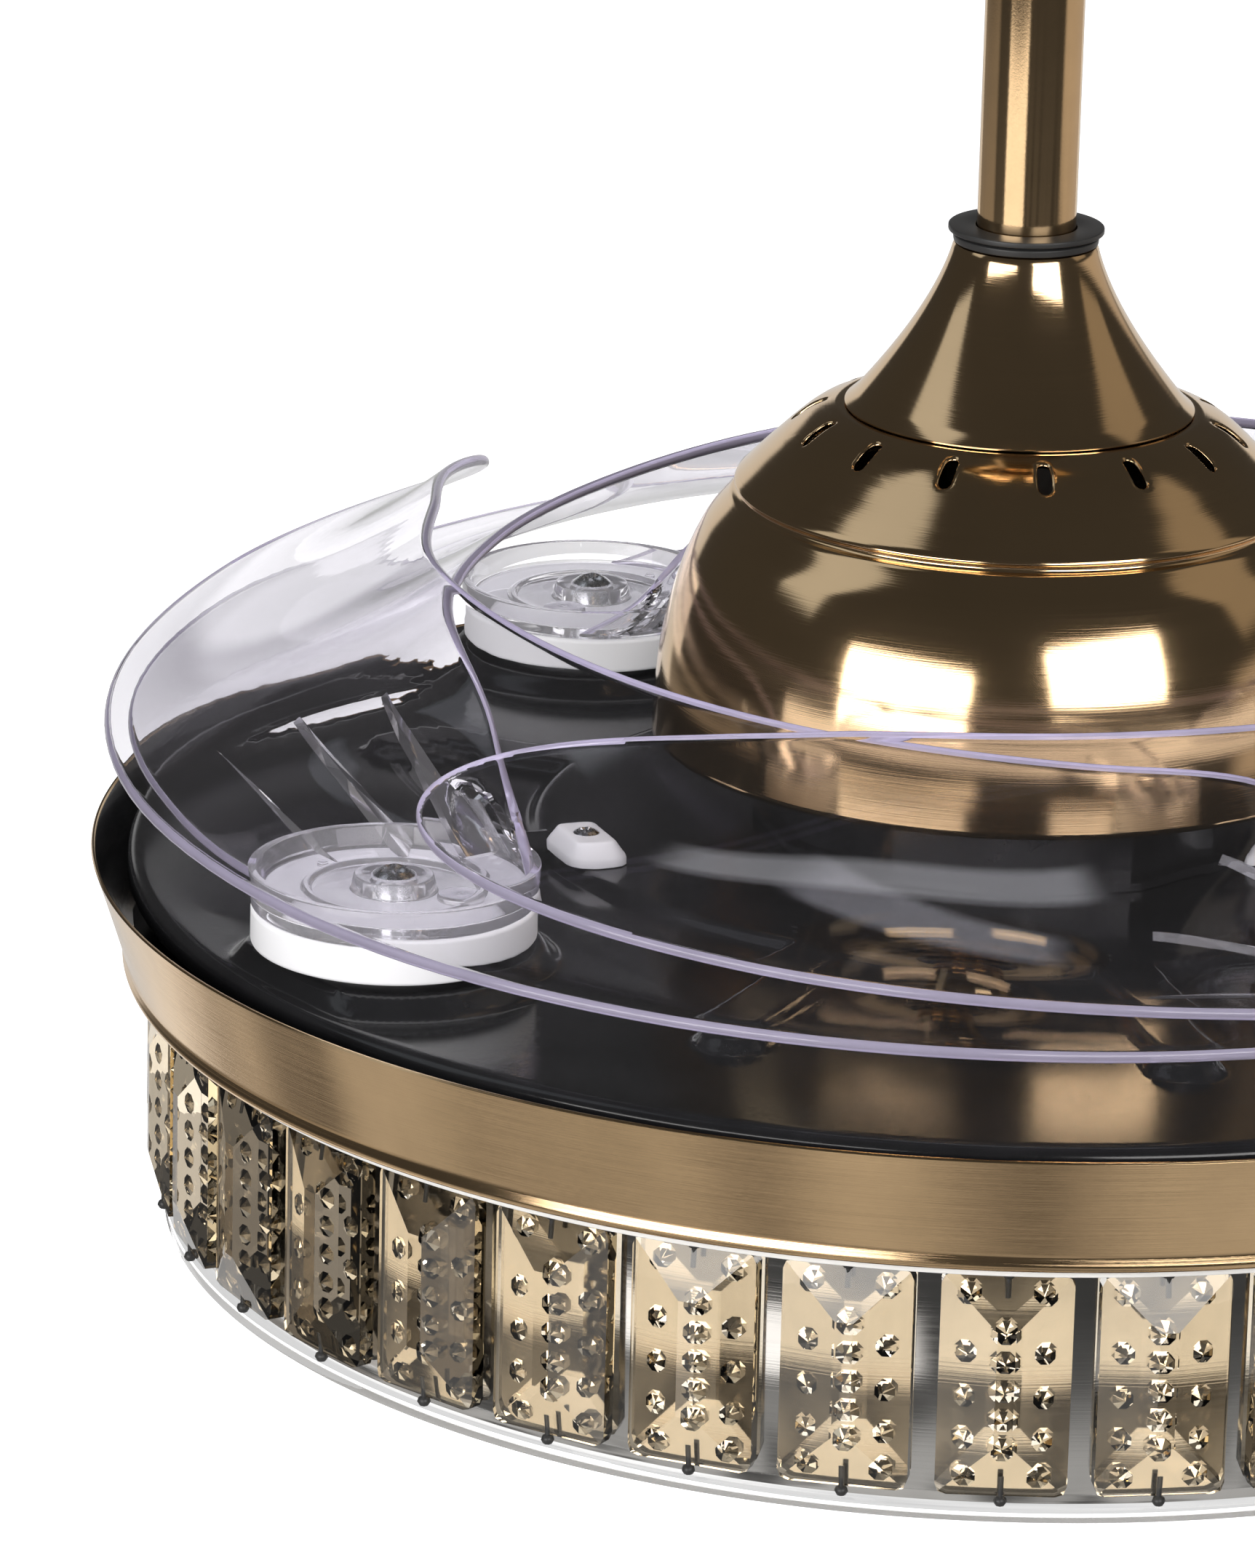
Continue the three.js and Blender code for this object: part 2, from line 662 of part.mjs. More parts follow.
// Involute flank: half angle of a tooth at a radius.
function toothHalf(teeth, radius) {
  const pitch = gearModule * teeth / 2;
  const base = pitch * Math.cos(rad(pressureAngle));
  const involute = (r) => {
    const pressure = Math.acos(Math.min(1, base / r));
    return Math.tan(pressure) - pressure;
  };
  const half = toothThinning * Math.PI / teeth;
  return half + involute(pitch) - involute(Math.max(radius, base));
}

// Outline points of one outer tooth whose middle points to an angle.
function tooth(teeth, angle) {
  const pitch = gearModule * teeth / 2;
  const radii = [pitch - 1.15 * gearModule, pitch + 0.9 * gearModule];
  const flank = radii.map((r) => [r, toothHalf(teeth, r)]);
  const low = flank.map(([r, half]) => onCircle(r, angle - THREE.MathUtils.radToDeg(half)));
  const high = flank.map(([r, half]) => onCircle(r, angle + THREE.MathUtils.radToDeg(half))).reverse();
  return [...low, ...high];
}

const ringSwing = bladeOpening * pinionTeeth / ringTeeth;

// Ring under the tray with a run of teeth at each hub and a slot for each guide spigot.
function syncRing() {
  const pitchAngle = 360 / ringTeeth;
  const spare = 1;
  const count = Math.ceil(ringSwing / pitchAngle) + spare;
  const outline = hubDirections.flatMap((direction) => {
    const teeth = [];
    for (let k = -spare; k <= count; k += 1) teeth.push(...tooth(ringTeeth, direction + k * pitchAngle));
    const first = direction + (count + 1) * pitchAngle;
    const last = direction + 360 / bladeCount - (spare + 1) * pitchAngle;
    const plain = [0, 0.2, 0.4, 0.6, 0.8, 1].map((t) => onCircle(syncOuter, first + (last - first) * t));
    return [...teeth, ...plain];
  });
  let body = raised(outline, gearBottom, gearTop).subtract(
    disc(syncInner, gearBottom - 1, gearTop + 1, lampFacets));
  for (let k = 0; k < guideCount; k += 1) {
    body = body.subtract(guideSlot(guideFirst + k * 360 / guideCount));
  }
  return body;
}

// Curved slot, long enough for the ring's whole swing past a fixed spigot.
function guideSlot(angle) {
  const half = clearHole(spigotRadius);
  const to = angle + ringSwing;
  const arc = (radius) => [0, 0.33, 0.67, 1].map((t) => onCircle(radius, angle + (to - angle) * t));
  const [low, high] = [gearBottom - 1, gearTop + 1];
  const middle = raised([...arc(guideCircle + half), ...arc(guideCircle - half).reverse()], low, high);
  return [angle, to].reduce(
    (body, end) => body.add(hole(half, low, high, onCircle(guideCircle, end))), middle);
}

// Steel ring under the gears. Its studs are the blade pivots and its pillars reach the tray.
function carrierRing() {
  let body = ring(carrierInner, carrierOuter, carrierBottom, carrierTop, lampFacets);
  for (const direction of hubDirections) {
    const centre = onCircle(hubCircle, direction);
    body = body.add(hole(studRadius, carrierBottom + 0.5, studTop, centre, 10));
    body = body.subtract(hole(clearHole(screwShank), studTop - screwDepth - 1, studTop + 1, centre));
    const foot = onCircle(pillarCircle, direction + 180 / bladeCount);
    body = body.add(hole(pillarRadius, carrierBottom + 0.5, -trayWall - seatGap, foot));
  }
  return body;
}

// ---------------------------------------------------------------- blades

const screwShank = 2;
const screwDepth = 12;

function pivotScrew() {
  const seat = studTop + seatGap;
  const dome = [1, 0.86, 0.5].map((share, k) => [screwHeadRadius * share, seat + screwHeadRise * k / 2]);
  return turned([[0, studTop - screwDepth], [screwShank, studTop - screwDepth], [screwShank, seat], ...dome,
    [0, seat + screwHeadRise * 1.04]], smallFacets + 2).translate([hubCircle, 0, 0]);
}

// White nylon hub: disc above the tray, stem through it, pinion below, pocket for the spring.
function bladeHub() {
  const bore = studRadius + seatGap;
  const pocket = springRadius + 2.4;
  const pocketTop = gearTop + 2;
  const body = turned([
    [bore, gearTop], [hubStemRadius, gearTop], [hubStemRadius, hubBottom], [hubRadius, hubBottom],
    [hubRadius, hubTop], [bore, hubTop],
  ], coverFacets - 2);
  const pitchAngle = 360 / pinionTeeth;
  const spare = 1;
  const towardsAxis = 180;
  const count = Math.ceil(bladeOpening / pitchAngle + 2 * spare);
  const outline = [];
  for (let k = 0; k < count; k += 1) {
    const angle = towardsAxis + (spare + 0.5 - k) * pitchAngle;
    outline.unshift(...tooth(pinionTeeth, angle));
  }
  const rootRadius = gearModule * pinionTeeth / 2 - 1.15 * gearModule;
  const plainFrom = towardsAxis + (spare + 1.1) * pitchAngle;
  const plainTo = towardsAxis + 360 - (count - 1 - spare + 0.1) * pitchAngle;
  for (let k = 0; k <= 5; k += 1) outline.push(onCircle(rootRadius, plainFrom + (plainTo - plainFrom) * k / 5));
  const pinion = raised(outline, gearBottom, gearTop + 0.5);
  const notch = block([6, 9, 5], [-hubRadius, 6, hubBottom]);
  return body.add(pinion).subtract(disc(bore, gearBottom - 1, hubTop + 1, 10))
    .subtract(disc(pocket, gearBottom - 1, pocketTop, 10)).subtract(notch).translate([hubCircle, 0, 0]);
}

// Value of an edge's stations at a turn, on a smooth curve through them.
function station(stations, column, turn) {
  const last = stations.length - 1;
  const next = Math.min(last, Math.max(1, stations.findIndex((s) => s[0] >= turn)));
  const k = turn > stations[last][0] ? last - 1 : next - 1;
  const [a, b] = [stations[k], stations[k + 1]];
  const slope = (n) => {
    const [p, q] = [stations[Math.max(0, n - 1)], stations[Math.min(last, n + 1)]];
    return (q[column] - p[column]) / (q[0] - p[0]);
  };
  const span = b[0] - a[0];
  const t = (turn - a[0]) / span;
  return (2 * t ** 3 - 3 * t ** 2 + 1) * a[column] + (t ** 3 - 2 * t ** 2 + t) * span * slope(k)
    + (-2 * t ** 3 + 3 * t ** 2) * b[column] + (t ** 3 - t ** 2) * span * slope(k + 1);
}

// A point of the blade's middle surface. "turn" runs clockwise round the fan from the hub, "across"
// from the raised inner edge at 0 to the low outer edge at 1.
function sheetSection(turn, across) {
  const closing = turn <= tipStart ? 1
    : Math.sqrt(Math.max(0, 1 - ((turn - tipStart) / (bladeTip - tipStart)) ** 2));
  const t = 0.5 + (across - 0.5) * closing;
  const inner = hubCircle + station(innerEdge, 1, turn);
  const outer = hubCircle + station(outerEdge, 1, turn);
  const radius = inner + (outer - inner) * t;
  const low = station(outerEdge, 2, turn);
  const height = low + (station(innerEdge, 2, turn) - low) * (1 - t) ** bladeCurl;
  const [x, y] = onCircle(radius, -turn);
  return new THREE.Vector3(x, y, height);
}

function sheetPoint(along, across) {
  const direction = rad(rootStart + (rootEnd - rootStart) * across);
  const reach = hubRadius - 1.2;
  const root = new THREE.Vector3(
    hubCircle - reach * Math.cos(direction), -reach * Math.sin(direction), discBottom + discWall / 2);
  const rootTurn = -THREE.MathUtils.radToDeg(Math.atan2(root.y, root.x));
  const turn = rootTurn + (bladeTip - rootTurn) * along;
  const shift = root.clone().sub(sheetSection(rootTurn, across));
  const fade = 1 - smooth((turn - rootTurn) / rootBlend);
  return sheetSection(turn, across).add(shift.multiplyScalar(fade));
}

// The sheet's rows lie closer together at the root and at the tip, where it bends most.
const rowsAlong = [0, 0.03, 0.065, 0.11, 0.17, 0.25, 0.35, 0.46, 0.57, 0.68, 0.78, 0.86, 0.92, 0.96, 0.985,
  0.998];
const columnsAcross = [0, 0.18, 0.5, 1];

function bladeSheet() {
  const rows = rowsAlong.length;
  const columns = columnsAcross.length;
  const step = 1e-3;
  const upper = [];
  const lower = [];
  for (const along of rowsAlong) {
    for (const across of columnsAcross) {
      const a = along > 0.5 ? sheetPoint(along - step, across) : sheetPoint(along, across);
      const b = along > 0.5 ? sheetPoint(along, across) : sheetPoint(along + step, across);
      const c = sheetPoint(along, Math.max(0, across - step));
      const d = sheetPoint(along, Math.min(1, across + step));
      const normal = b.sub(a).cross(d.sub(c)).normalize();
      if (normal.z < 0) normal.negate();
      const middle = sheetPoint(along, across);
      upper.push(middle.clone().addScaledVector(normal, bladeThickness / 2));
      lower.push(middle.clone().addScaledVector(normal, -bladeThickness / 2));
    }
  }
  const triangles = [];
  const total = rows * columns;
  const quad = (a, b, c, d) => triangles.push(a, b, c, a, c, d);
  for (let i = 0; i + 1 < rows; i += 1) {
    for (let j = 0; j + 1 < columns; j += 1) {
      const a = i * columns + j;
      quad(a, a + 1, a + columns + 1, a + columns);
      quad(total + a, total + a + columns, total + a + columns + 1, total + a + 1);
    }
    const left = i * columns;
    const right = left + columns - 1;
    quad(left, left + columns, total + left + columns, total + left);
    quad(right, total + right, total + right + columns, right + columns);
  }
  for (let j = 0; j + 1 < columns; j += 1) {
    const tip = (rows - 1) * columns + j;
    quad(j, total + j, total + j + 1, j + 1);
    quad(tip, tip + 1, total + tip + 1, total + tip);
  }
  const geometry = new THREE.BufferGeometry().setFromPoints([...upper, ...lower]);
  geometry.setIndex(triangles);
  return solid(geometry);
}

// Three-cornered web between the clear disc and the rising sheet.
function rootWeb(across) {
  const foot = sheetPoint(0.004, across);
  const head = sheetPoint(0.11, across);
  const centre = new THREE.Vector3(hubCircle, 0, foot.z);
  const inward = centre.clone().sub(foot).setLength(webReach);
  const start = foot.clone().add(inward);
  const side = head.clone().sub(start).cross(foot.clone().sub(start)).setLength(webThickness / 2);
  const corners = [start, foot, head];
  const points = [...corners.map((p) => p.clone().add(side)), ...corners.map((p) => p.clone().sub(side))];
  const geometry = new THREE.BufferGeometry().setFromPoints(points);
  geometry.setIndex([0, 1, 2, 3, 5, 4, 0, 3, 4, 0, 4, 1, 1, 4, 5, 1, 5, 2, 2, 5, 3, 2, 3, 0]);
  return solid(geometry);
}

// Clear one-piece blade: dished disc with a screw boss, webs and the long curled sheet.
function blade() {
  const rimTop = discBottom + discRimHeight;
  const rimWall = 2.4;
  const dish = turned([
    [studRadius + seatGap, discBottom], [hubRadius, discBottom], [hubRadius, rimTop],
    [hubRadius - rimWall, rimTop], [hubRadius - rimWall, discTop], [studRadius + seatGap, discTop],
  ], coverFacets - 2).translate([hubCircle, 0, 0]);
  const bowlAir = disc(hubRadius - rimWall / 2, discTop, rimTop + 3, coverFacets - 2)
    .translate([hubCircle, 0, 0]);
  let sheet = bladeSheet().subtract(bowlAir);
  for (let k = 1; k <= webCount; k += 1) sheet = sheet.add(rootWeb(k / (webCount + 1)));
  return outerShell(dish.add(sheet));
}

// Torsion spring that folds the blade, wound close round the pivot stud under the pinion.
function returnSpring() {
  const low = carrierTop + seatGap;
  const high = low + springTurns * springWire;
  return ring(springRadius - springWire, springRadius, low, high, 10).translate([hubCircle, 0, 0]);
}

// ---------------------------------------------------------------- lamp

const rimRadiusAt = (height) => rimTopRadius + rimTaper * height / rimHeight;

// Conical polished band, thin at its upper edge, with a rolled bead below.
function rimBand() {
  const beadTop = -rimHeight + 2 * rimBead;
  return turned([
    [rimTopRadius, 0], [rimRadiusAt(beadTop), beadTop], [rimBottomRadius + 1.3, -rimHeight + rimBead],
    [rimBottomRadius, -rimHeight], [rimBottomRadius - 1.8, -rimHeight],
    [rimRadiusAt(beadTop) - sheetWall - 0.4, beadTop], [rimTopRadius - sheetWall, 0],
  ], lampFacets);
}

// Shallow steel pan that carries the band, the light board and the crystal drum.
function lampPan() {
  const edge = rimRadiusAt(panHeight - 4) - sheetWall - 2 * seatGap;
  return turned([
    [panHole, panHeight], [edge, panHeight], [edge - 1.5, panLow], [drumRadius - 6, panLow],
    [drumRadius - 6, panLow + panWall], [edge - 4, panLow + panWall], [edge - 4, panHeight - panWall],
    [panHole, panHeight - panWall],
  ], lampFacets);
}

function diffuserStrip() {
  const high = panLow - seatGap;
  return ring(drumRadius + 2, rimBottomRadius - 2.6, high - stripHeight, high, lampFacets);
}

function ledBoard() {
  const high = panHeight - panWall - seatGap;
  return ring(boardInner, boardOuter, high - boardWall, high, coverFacets);
}

function ledDriver() {
  const high = panHeight - panWall - seatGap;
  return block(driverSize, [0, driverOffset, high - driverSize[2] / 2]);
}

function shaftNut() {
  const high = panHeight - panWall - seatGap;
  return disc(nutRadius, high - nutHeight, high, 6).subtract(
    disc(shaftRadius + seatGap, high - nutHeight - 1, high + 1, columnFacets));
}

// One crystal: clipped corners and four broad facets that rise from its border to a narrow table.
function crystal() {
  const outline = (inset) => {
    const w = crystalWidth / 2 - inset;
    const h = crystalHeight / 2 - inset;
    const c = crystalCorner;
    return [[w, -h + c], [w, h - c], [w - c, h], [-w + c, h], [-w, h - c], [-w, -h + c], [-w + c, -h], [w - c, -h]];
  };
  const layers = [[0, 0], [0, crystalEdge], [crystalBevel, crystalThickness]];
  const points = layers.flatMap(([inset, depth]) => outline(inset).map(
    ([y, z]) => new THREE.Vector3(crystalBack + depth, y, crystalMiddle + z)));
  const n = 8;
  const triangles = [];
  for (let k = 1; k + 1 < n; k += 1) {
    triangles.push(0, k + 1, k, 2 * n, 2 * n + k, 2 * n + k + 1);
  }
  for (let k = 0; k < n; k += 1) {
    const next = (k + 1) % n;
    for (const row of [0, n]) {
      triangles.push(row + k, row + next, row + next + n, row + k, row + next + n, row + k + n);
    }
  }
  const geometry = new THREE.BufferGeometry().setFromPoints(points);
  geometry.setIndex(triangles);
  return solid(geometry);
}

// Mirror-bright drum with one flat for each crystal, and the crystals seated on the flats.
function crystalRing() {
  const wall = drumRadius - drumWall;
  const drum = turned([
    [wall, drumBottom + drumWall], [wall - drumFlange, drumBottom + drumWall],
    [wall - drumFlange, drumBottom], [drumRadius, drumBottom], [drumRadius, drumTop], [wall, drumTop],
  ], crystalCount, firstCrystal + 180 / crystalCount);
  const copies = around(crystalCount).map((angle) => turnedTo(crystal(), firstCrystal + angle));
  return copies.reduce((body, copy) => body.add(copy), drum);
}

function bottomDiffuser() {
  const low = drumBottom + drumWall + seatGap;
  return disc(drumRadius - drumWall - 1.4, low, low + diffuserWall, crystalCount);
}

function clearRing() {
  const high = drumBottom - seatGap;
  const outer = drumRadius + 3;
  return turned([
    [outer - clearRingWidth, high], [outer - clearRingWidth, high - clearRingHeight],
    [outer, high - clearRingHeight], [outer, high],
  ], lampFacets);
}

// ---------------------------------------------------------------- assembly

const product = new THREE.Group();
const fan = new THREE.Group();
fan.position.z = -dropToRim;
product.add(fan);

function place(group, name, body, material, turn = 0) {
  const mesh = new THREE.Mesh(geometryOf(body), material);
  mesh.name = name;
  mesh.rotation.z = rad(turn);
  group.add(mesh);
  return mesh;
}

// held to the ceiling
place(product, 'ceiling_bracket', ceilingBracket(), zincSteel);
place(product, 'canopy', canopy(), roseGold);
place(product, 'canopy_screw_1', canopyScrew(), zincSteel);
place(product, 'canopy_screw_2', canopyScrew(), zincSteel, 180);
place(product, 'receiver_box', receiver(), blackPlastic);

// hanging column, which doesn't turn
place(fan, 'hanger_ball', hangerBall(), blackPlastic);
place(fan, 'ball_pin', crossPin(ballPinRadius, 2 * ballRadius * 0.9, ballHeight), zincSteel);
place(fan, 'downrod', downrod(), roseGold);
place(fan, 'rod_pin', crossPin(rodPinRadius, 2 * yokeRadius + 3, rodBottom + rodPinHeight), zincSteel);
place(fan, 'rod_collar', collar(), blackPlastic);
place(fan, 'bell_cover', bellCover(), roseGold);
place(fan, 'yoke', yoke(), rawSteel);
place(fan, 'dome_cover', domeCover(), roseGold);
place(fan, 'hollow_shaft', hollowShaft(), rawSteel);
place(fan, 'stator', stator(), copperCore);
place(fan, 'bearing_lower', bearingAt(caseFloor + caseWall + seatGap), zincSteel);
place(fan, 'bearing_upper', bearingAt(caseTop - caseWall - bearingWidth - seatGap), zincSteel);
place(fan, 'lamp_pan', lampPan(), blackCoat);
place(fan, 'rim_band', rimBand(), roseGold);
place(fan, 'shaft_nut', shaftNut(), zincSteel);
place(fan, 'led_board', ledBoard(), opal);
place(fan, 'led_driver', ledDriver(), opal);
place(fan, 'diffuser_strip', diffuserStrip(), opal);
place(fan, 'crystal_ring', crystalRing(), mirrorSteel);
place(fan, 'bottom_diffuser', bottomDiffuser(), opal);
place(fan, 'clear_ring', clearRing(), clear);

// turning part
place(fan, 'rotor_case_lower', lowerCase(), blackCoat);
place(fan, 'rotor_case_upper', upperCase(), blackCoat);
place(fan, 'magnet_ring', magnetRing(), rawSteel);
place(fan, 'blade_tray', bladeTray(), blackCoat);
place(fan, 'carrier_ring', carrierRing(), rawSteel);
guidePlaces().forEach(([radius, angle], k) => {
  const slides = k < guideCount;
  const body = guideBlock(slides ? gearBottom + 1 : plateauHeight - trayWall - 1).translate([radius, 0, 0]);
  place(fan, `guide_block_${k + 1}`, body, whiteNylon, angle);
  place(fan, `guide_screw_${k + 1}`, guideScrew().translate([radius, 0, 0]), zincSteel, angle);
});
place(fan, 'sync_ring', syncRing(), whiteNylon);

// the four blades
hubDirections.forEach((direction, k) => {
  place(fan, `blade_${k + 1}`, blade(), clear, direction);
  place(fan, `blade_hub_${k + 1}`, bladeHub(), whiteNylon, direction);
  place(fan, `pivot_screw_${k + 1}`, pivotScrew(), zincSteel, direction);
  place(fan, `return_spring_${k + 1}`, returnSpring(), rawSteel, direction);
});

export default product;
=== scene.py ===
"""The looks of a ceiling fan whose clear blades fold over its motor dome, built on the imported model.

Inside the shape functions lengths are millimetres and heights count from the upper edge of the lamp's
rim band. `in_frame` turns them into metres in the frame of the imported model.
"""
import math

import bmesh
import bpy
import numpy as np
from bpy.props import FloatProperty, FloatVectorProperty, IntProperty, PointerProperty
from bpy.types import Operator, Panel, PropertyGroup
from mathutils import Matrix, Vector
from mathutils.geometry import delaunay_2d_cdt


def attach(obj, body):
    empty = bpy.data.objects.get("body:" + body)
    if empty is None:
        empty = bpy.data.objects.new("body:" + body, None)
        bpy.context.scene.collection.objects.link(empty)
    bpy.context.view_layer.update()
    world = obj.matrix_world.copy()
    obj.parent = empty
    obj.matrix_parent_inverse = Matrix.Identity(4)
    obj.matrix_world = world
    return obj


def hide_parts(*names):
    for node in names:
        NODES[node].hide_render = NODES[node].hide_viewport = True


bl_info = {
    "name": "Folding blade ceiling fan",
    "version": (1, 0, 0),
    "blender": (4, 5, 0),
    "location": "3D View > Sidebar > Fan",
    "description": "Dresses the packed fan model with smooth covers, clear blades and bevelled crystals",
    "category": "Object",
}

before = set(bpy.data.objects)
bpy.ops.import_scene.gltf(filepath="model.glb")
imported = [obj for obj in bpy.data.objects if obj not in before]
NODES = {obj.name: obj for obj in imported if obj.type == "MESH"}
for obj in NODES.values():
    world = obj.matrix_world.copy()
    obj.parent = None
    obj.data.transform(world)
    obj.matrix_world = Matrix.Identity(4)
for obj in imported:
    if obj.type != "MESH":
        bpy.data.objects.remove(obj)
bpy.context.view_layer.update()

RIM_DROP = 394.0            # from the ceiling down to the rim band's upper edge
HUB_CIRCLE = 200.0          # circle of the four blade pivots
FIRST_HUB = 215.2           # direction of the first pivot, counter-clockwise from +X
DISC_LOW = 17.6             # underside of a blade's clear disc
DISC_WALL = 36.3            # radius at which the sheet leaves the disc's wall
SCREW_SEAT = 24.2           # top of the clear boss under a pivot screw's head
FIRST_VENT = 274.6          # direction of a vent slot's middle
FIRST_CRYSTAL = 278.7       # direction of a crystal's middle
SHEET = 3.0                 # thickness of a blade
TIP_TURN = 171.0            # turn of the blade's tip round the fan, from its pivot
TIP_START = 149.0           # turn at which the tip starts to round off
TIP_RADIUS, TIP_HALF = 215.0, 42.0  # distance of the tip from the fan's middle, half its width
EDGE_SHARE = 0.93           # share of the thickness below which a blade's face is its milky edge
CURL = 1.6                  # power by which the sheet's height falls from its inner edge
ROOT_FROM, ROOT_TO = -40.0, 136.0   # sector of the disc's wall that the sheet leaves from
ROOT_BLEND = 18.0           # turn over which the sheet comes free of the disc
# Turn round the fan, distance outside the hub circle and height of the blade's two long edges.
INNER_EDGE = np.array([
    [-7, -30, 19], [-3, -36.5, 27], [2, -40, 42], [8, -43, 57], [16, -44, 67.5], [30, -48, 71],
    [50, -54, 73], [75, -56, 75.5], [100, -51, 79], [120, -43, 81.5], [140, -37, 81], [155, -22, 79],
    [171, -14, 80]], float)
OUTER_EDGE = np.array([
    [-7, 20, 19], [6, 25, 20], [20, 32, 21], [40, 42, 24.5], [60, 47, 27], [80, 50, 30],
    [100, 50, 34.5], [120, 46.5, 38], [140, 43, 41.5], [155, 41, 46], [171, 43, 51]], float)


# ---- sizes and colours

def length_of(name, description, default):
    """A length in metres, shown in the scene's own unit."""
    return FloatProperty(name=name, description=description, default=default, unit="LENGTH",
                         subtype="DISTANCE")


def colour_of(name, description, default):
    """A linear RGB colour."""
    return FloatVectorProperty(name=name, description=description, default=default, size=3,
                               subtype="COLOR")


class FanSizes(PropertyGroup):
    """Lengths and counts that a maker would change."""
    rod_radius: length_of("Rod radius", "Radius of the hanging rod", 0.01335)
    cover_wall: length_of("Cover wall", "Thickness of the spun covers", 0.0012)
    tray_radius: length_of("Tray radius", "Radius of the pressed blade tray", 0.240)
    rim_radius: length_of("Rim radius", "Radius of the rim band at its upper edge", 0.250)
    drum_radius: length_of("Drum radius", "Radius of the mirror drum of the lamp", 0.2254)
    hub_radius: length_of("Hub radius", "Radius of a white blade hub", 0.0375)
    crystal_width: length_of("Crystal width", "Width of one crystal", 0.0334)
    crystal_height: length_of("Crystal height", "Height of one crystal", 0.060)
    crystal_count: IntProperty(name="Crystals", description="Crystals round the lamp", default=36)
    vent_count: IntProperty(name="Vents", description="Vent slots round the dome", default=14)


class FanColours(PropertyGroup):
    """Colours of the finishes."""
    rose_gold: colour_of("Rose gold", "Polished covers, rod and rim", (0.84, 0.59, 0.335))
    # The black coat is also the colour of the painted shade on the rim band's inner face.
    black_coat: colour_of("Black coat", "Painted steel of the tray", (0.012, 0.012, 0.013))
    nylon: colour_of("White nylon", "Hubs and guide blocks", (0.90, 0.92, 0.97))
    clear_edge: colour_of("Clear edge", "Tint of the blades seen edge on", (0.60, 0.55, 0.74))
    crystal: colour_of("Crystal", "Tint of the crystals", (0.87, 0.785, 0.65))


def millimetres(name):
    """One of the fan's sizes in millimetres."""
    return getattr(bpy.context.scene.fan_sizes, name) * 1000.0


# ---- shape helpers

def in_frame(points):
    """Millimetres above the rim plane to metres in the model's frame: p / 1000 - (0, 0, drop)."""
    return np.asarray(points, float) / 1000.0 - np.array([0.0, 0.0, RIM_DROP / 1000.0])


def grid(rows, columns, close_rows=False, close_columns=False):
    """Quads of a grid whose point (i, j) has the number i * columns + j."""
    i = np.arange(rows if close_rows else rows - 1)
    j = np.arange(columns if close_columns else columns - 1)
    i, j = np.meshgrid(i, j, indexing="ij")
    down, right = (i + 1) % rows, (j + 1) % columns
    quads = np.stack([i * columns + j, down * columns + j, down * columns + right, i * columns + right], -1)
    return quads.reshape(-1, 4)


def smooth(t):
    """3 t^2 - 2 t^3 between 0 and 1, level outside."""
    t = np.clip(t, 0.0, 1.0)
    return t * t * (3.0 - 2.0 * t)


def hermite(stations, values, t):
    """Cubic through the values at the stations, each slope taken from the two neighbours."""
    last = len(stations) - 1
    n = np.arange(last + 1)
    low, high = np.maximum(n - 1, 0), np.minimum(n + 1, last)
    slope = (values[high] - values[low]) / (stations[high] - stations[low])[:, None]
    k = np.clip(np.searchsorted(stations, t, side="right") - 1, 0, last - 1)
    span = (stations[k + 1] - stations[k])[..., None]
    u = (np.asarray(t) - stations[k])[..., None] / span
    return ((2 * u ** 3 - 3 * u ** 2 + 1) * values[k] + (u ** 3 - 2 * u ** 2 + u) * span * slope[k]
            + (3 * u ** 2 - 2 * u ** 3) * values[k + 1] + (u ** 3 - u ** 2) * span * slope[k + 1])


def through(points, steps):
    """Smooth curve through points, `steps` samples for each stretch, by its length along the chords."""
    points = np.asarray(points, float)
    along = np.concatenate([[0.0], np.cumsum(np.linalg.norm(np.diff(points, axis=0), axis=1))])
    t = np.interp(np.linspace(0, len(points) - 1, steps * (len(points) - 1) + 1),
                  np.arange(len(points)), along)
    return hermite(along, points, t)


def rounded(profile, cut, steps):
    """Closed profile with each corner p replaced by (1-t)^2 a + 2 t (1-t) p + t^2 b, a and b lying `cut`
    back along the two edges and never more than 0.45 of an edge."""
    p = np.asarray(profile, float)
    before, after = np.roll(p, 1, 0) - p, np.roll(p, -1, 0) - p
    back, ahead = np.linalg.norm(before, axis=1), np.linalg.norm(after, axis=1)
    cut = np.broadcast_to(np.asarray(cut, float), len(p))
    a = p + before * (np.minimum(cut, 0.45 * back) / back)[:, None]
    b = p + after * (np.minimum(cut, 0.45 * ahead) / ahead)[:, None]
    t = np.linspace(0, 1, steps + 1)[None, :, None]
    curve = (1 - t) ** 2 * a[:, None] + 2 * t * (1 - t) * p[:, None] + t ** 2 * b[:, None]
    return curve.reshape(-1, 2)


def unit(vectors):
    """Vectors divided by their own lengths."""
    return vectors / np.maximum(np.linalg.norm(vectors, axis=-1, keepdims=True), 1e-9)


def around(steps):
    """Even steps of a full turn, in radians."""
    return np.linspace(0, 2 * np.pi, steps, endpoint=False)


def carried(profile, a, centre=(0.0, 0.0)):
    """Every (radius, height) of a profile at every angle: centre + (r cos a, r sin a, z)."""
    r, z = profile[:, :1], np.repeat(profile[:, 1:], len(a), 1)
    return np.stack([centre[0] + r * np.cos(a), centre[1] + r * np.sin(a), z], -1)


def turned(profile, steps, centre=(0.0, 0.0)):
    """Closed profile of (radius, height) carried round an upright axis in even steps."""
    profile = np.asarray(profile, float)
    after = np.roll(profile, -1, 0)
    if np.sum(profile[:, 0] * after[:, 1] - after[:, 0] * profile[:, 1]) < 0:
        profile = profile[::-1]
    points = carried(profile, around(steps), centre)
    return points.reshape(-1, 3), grid(len(profile), steps, True, True)[:, ::-1]


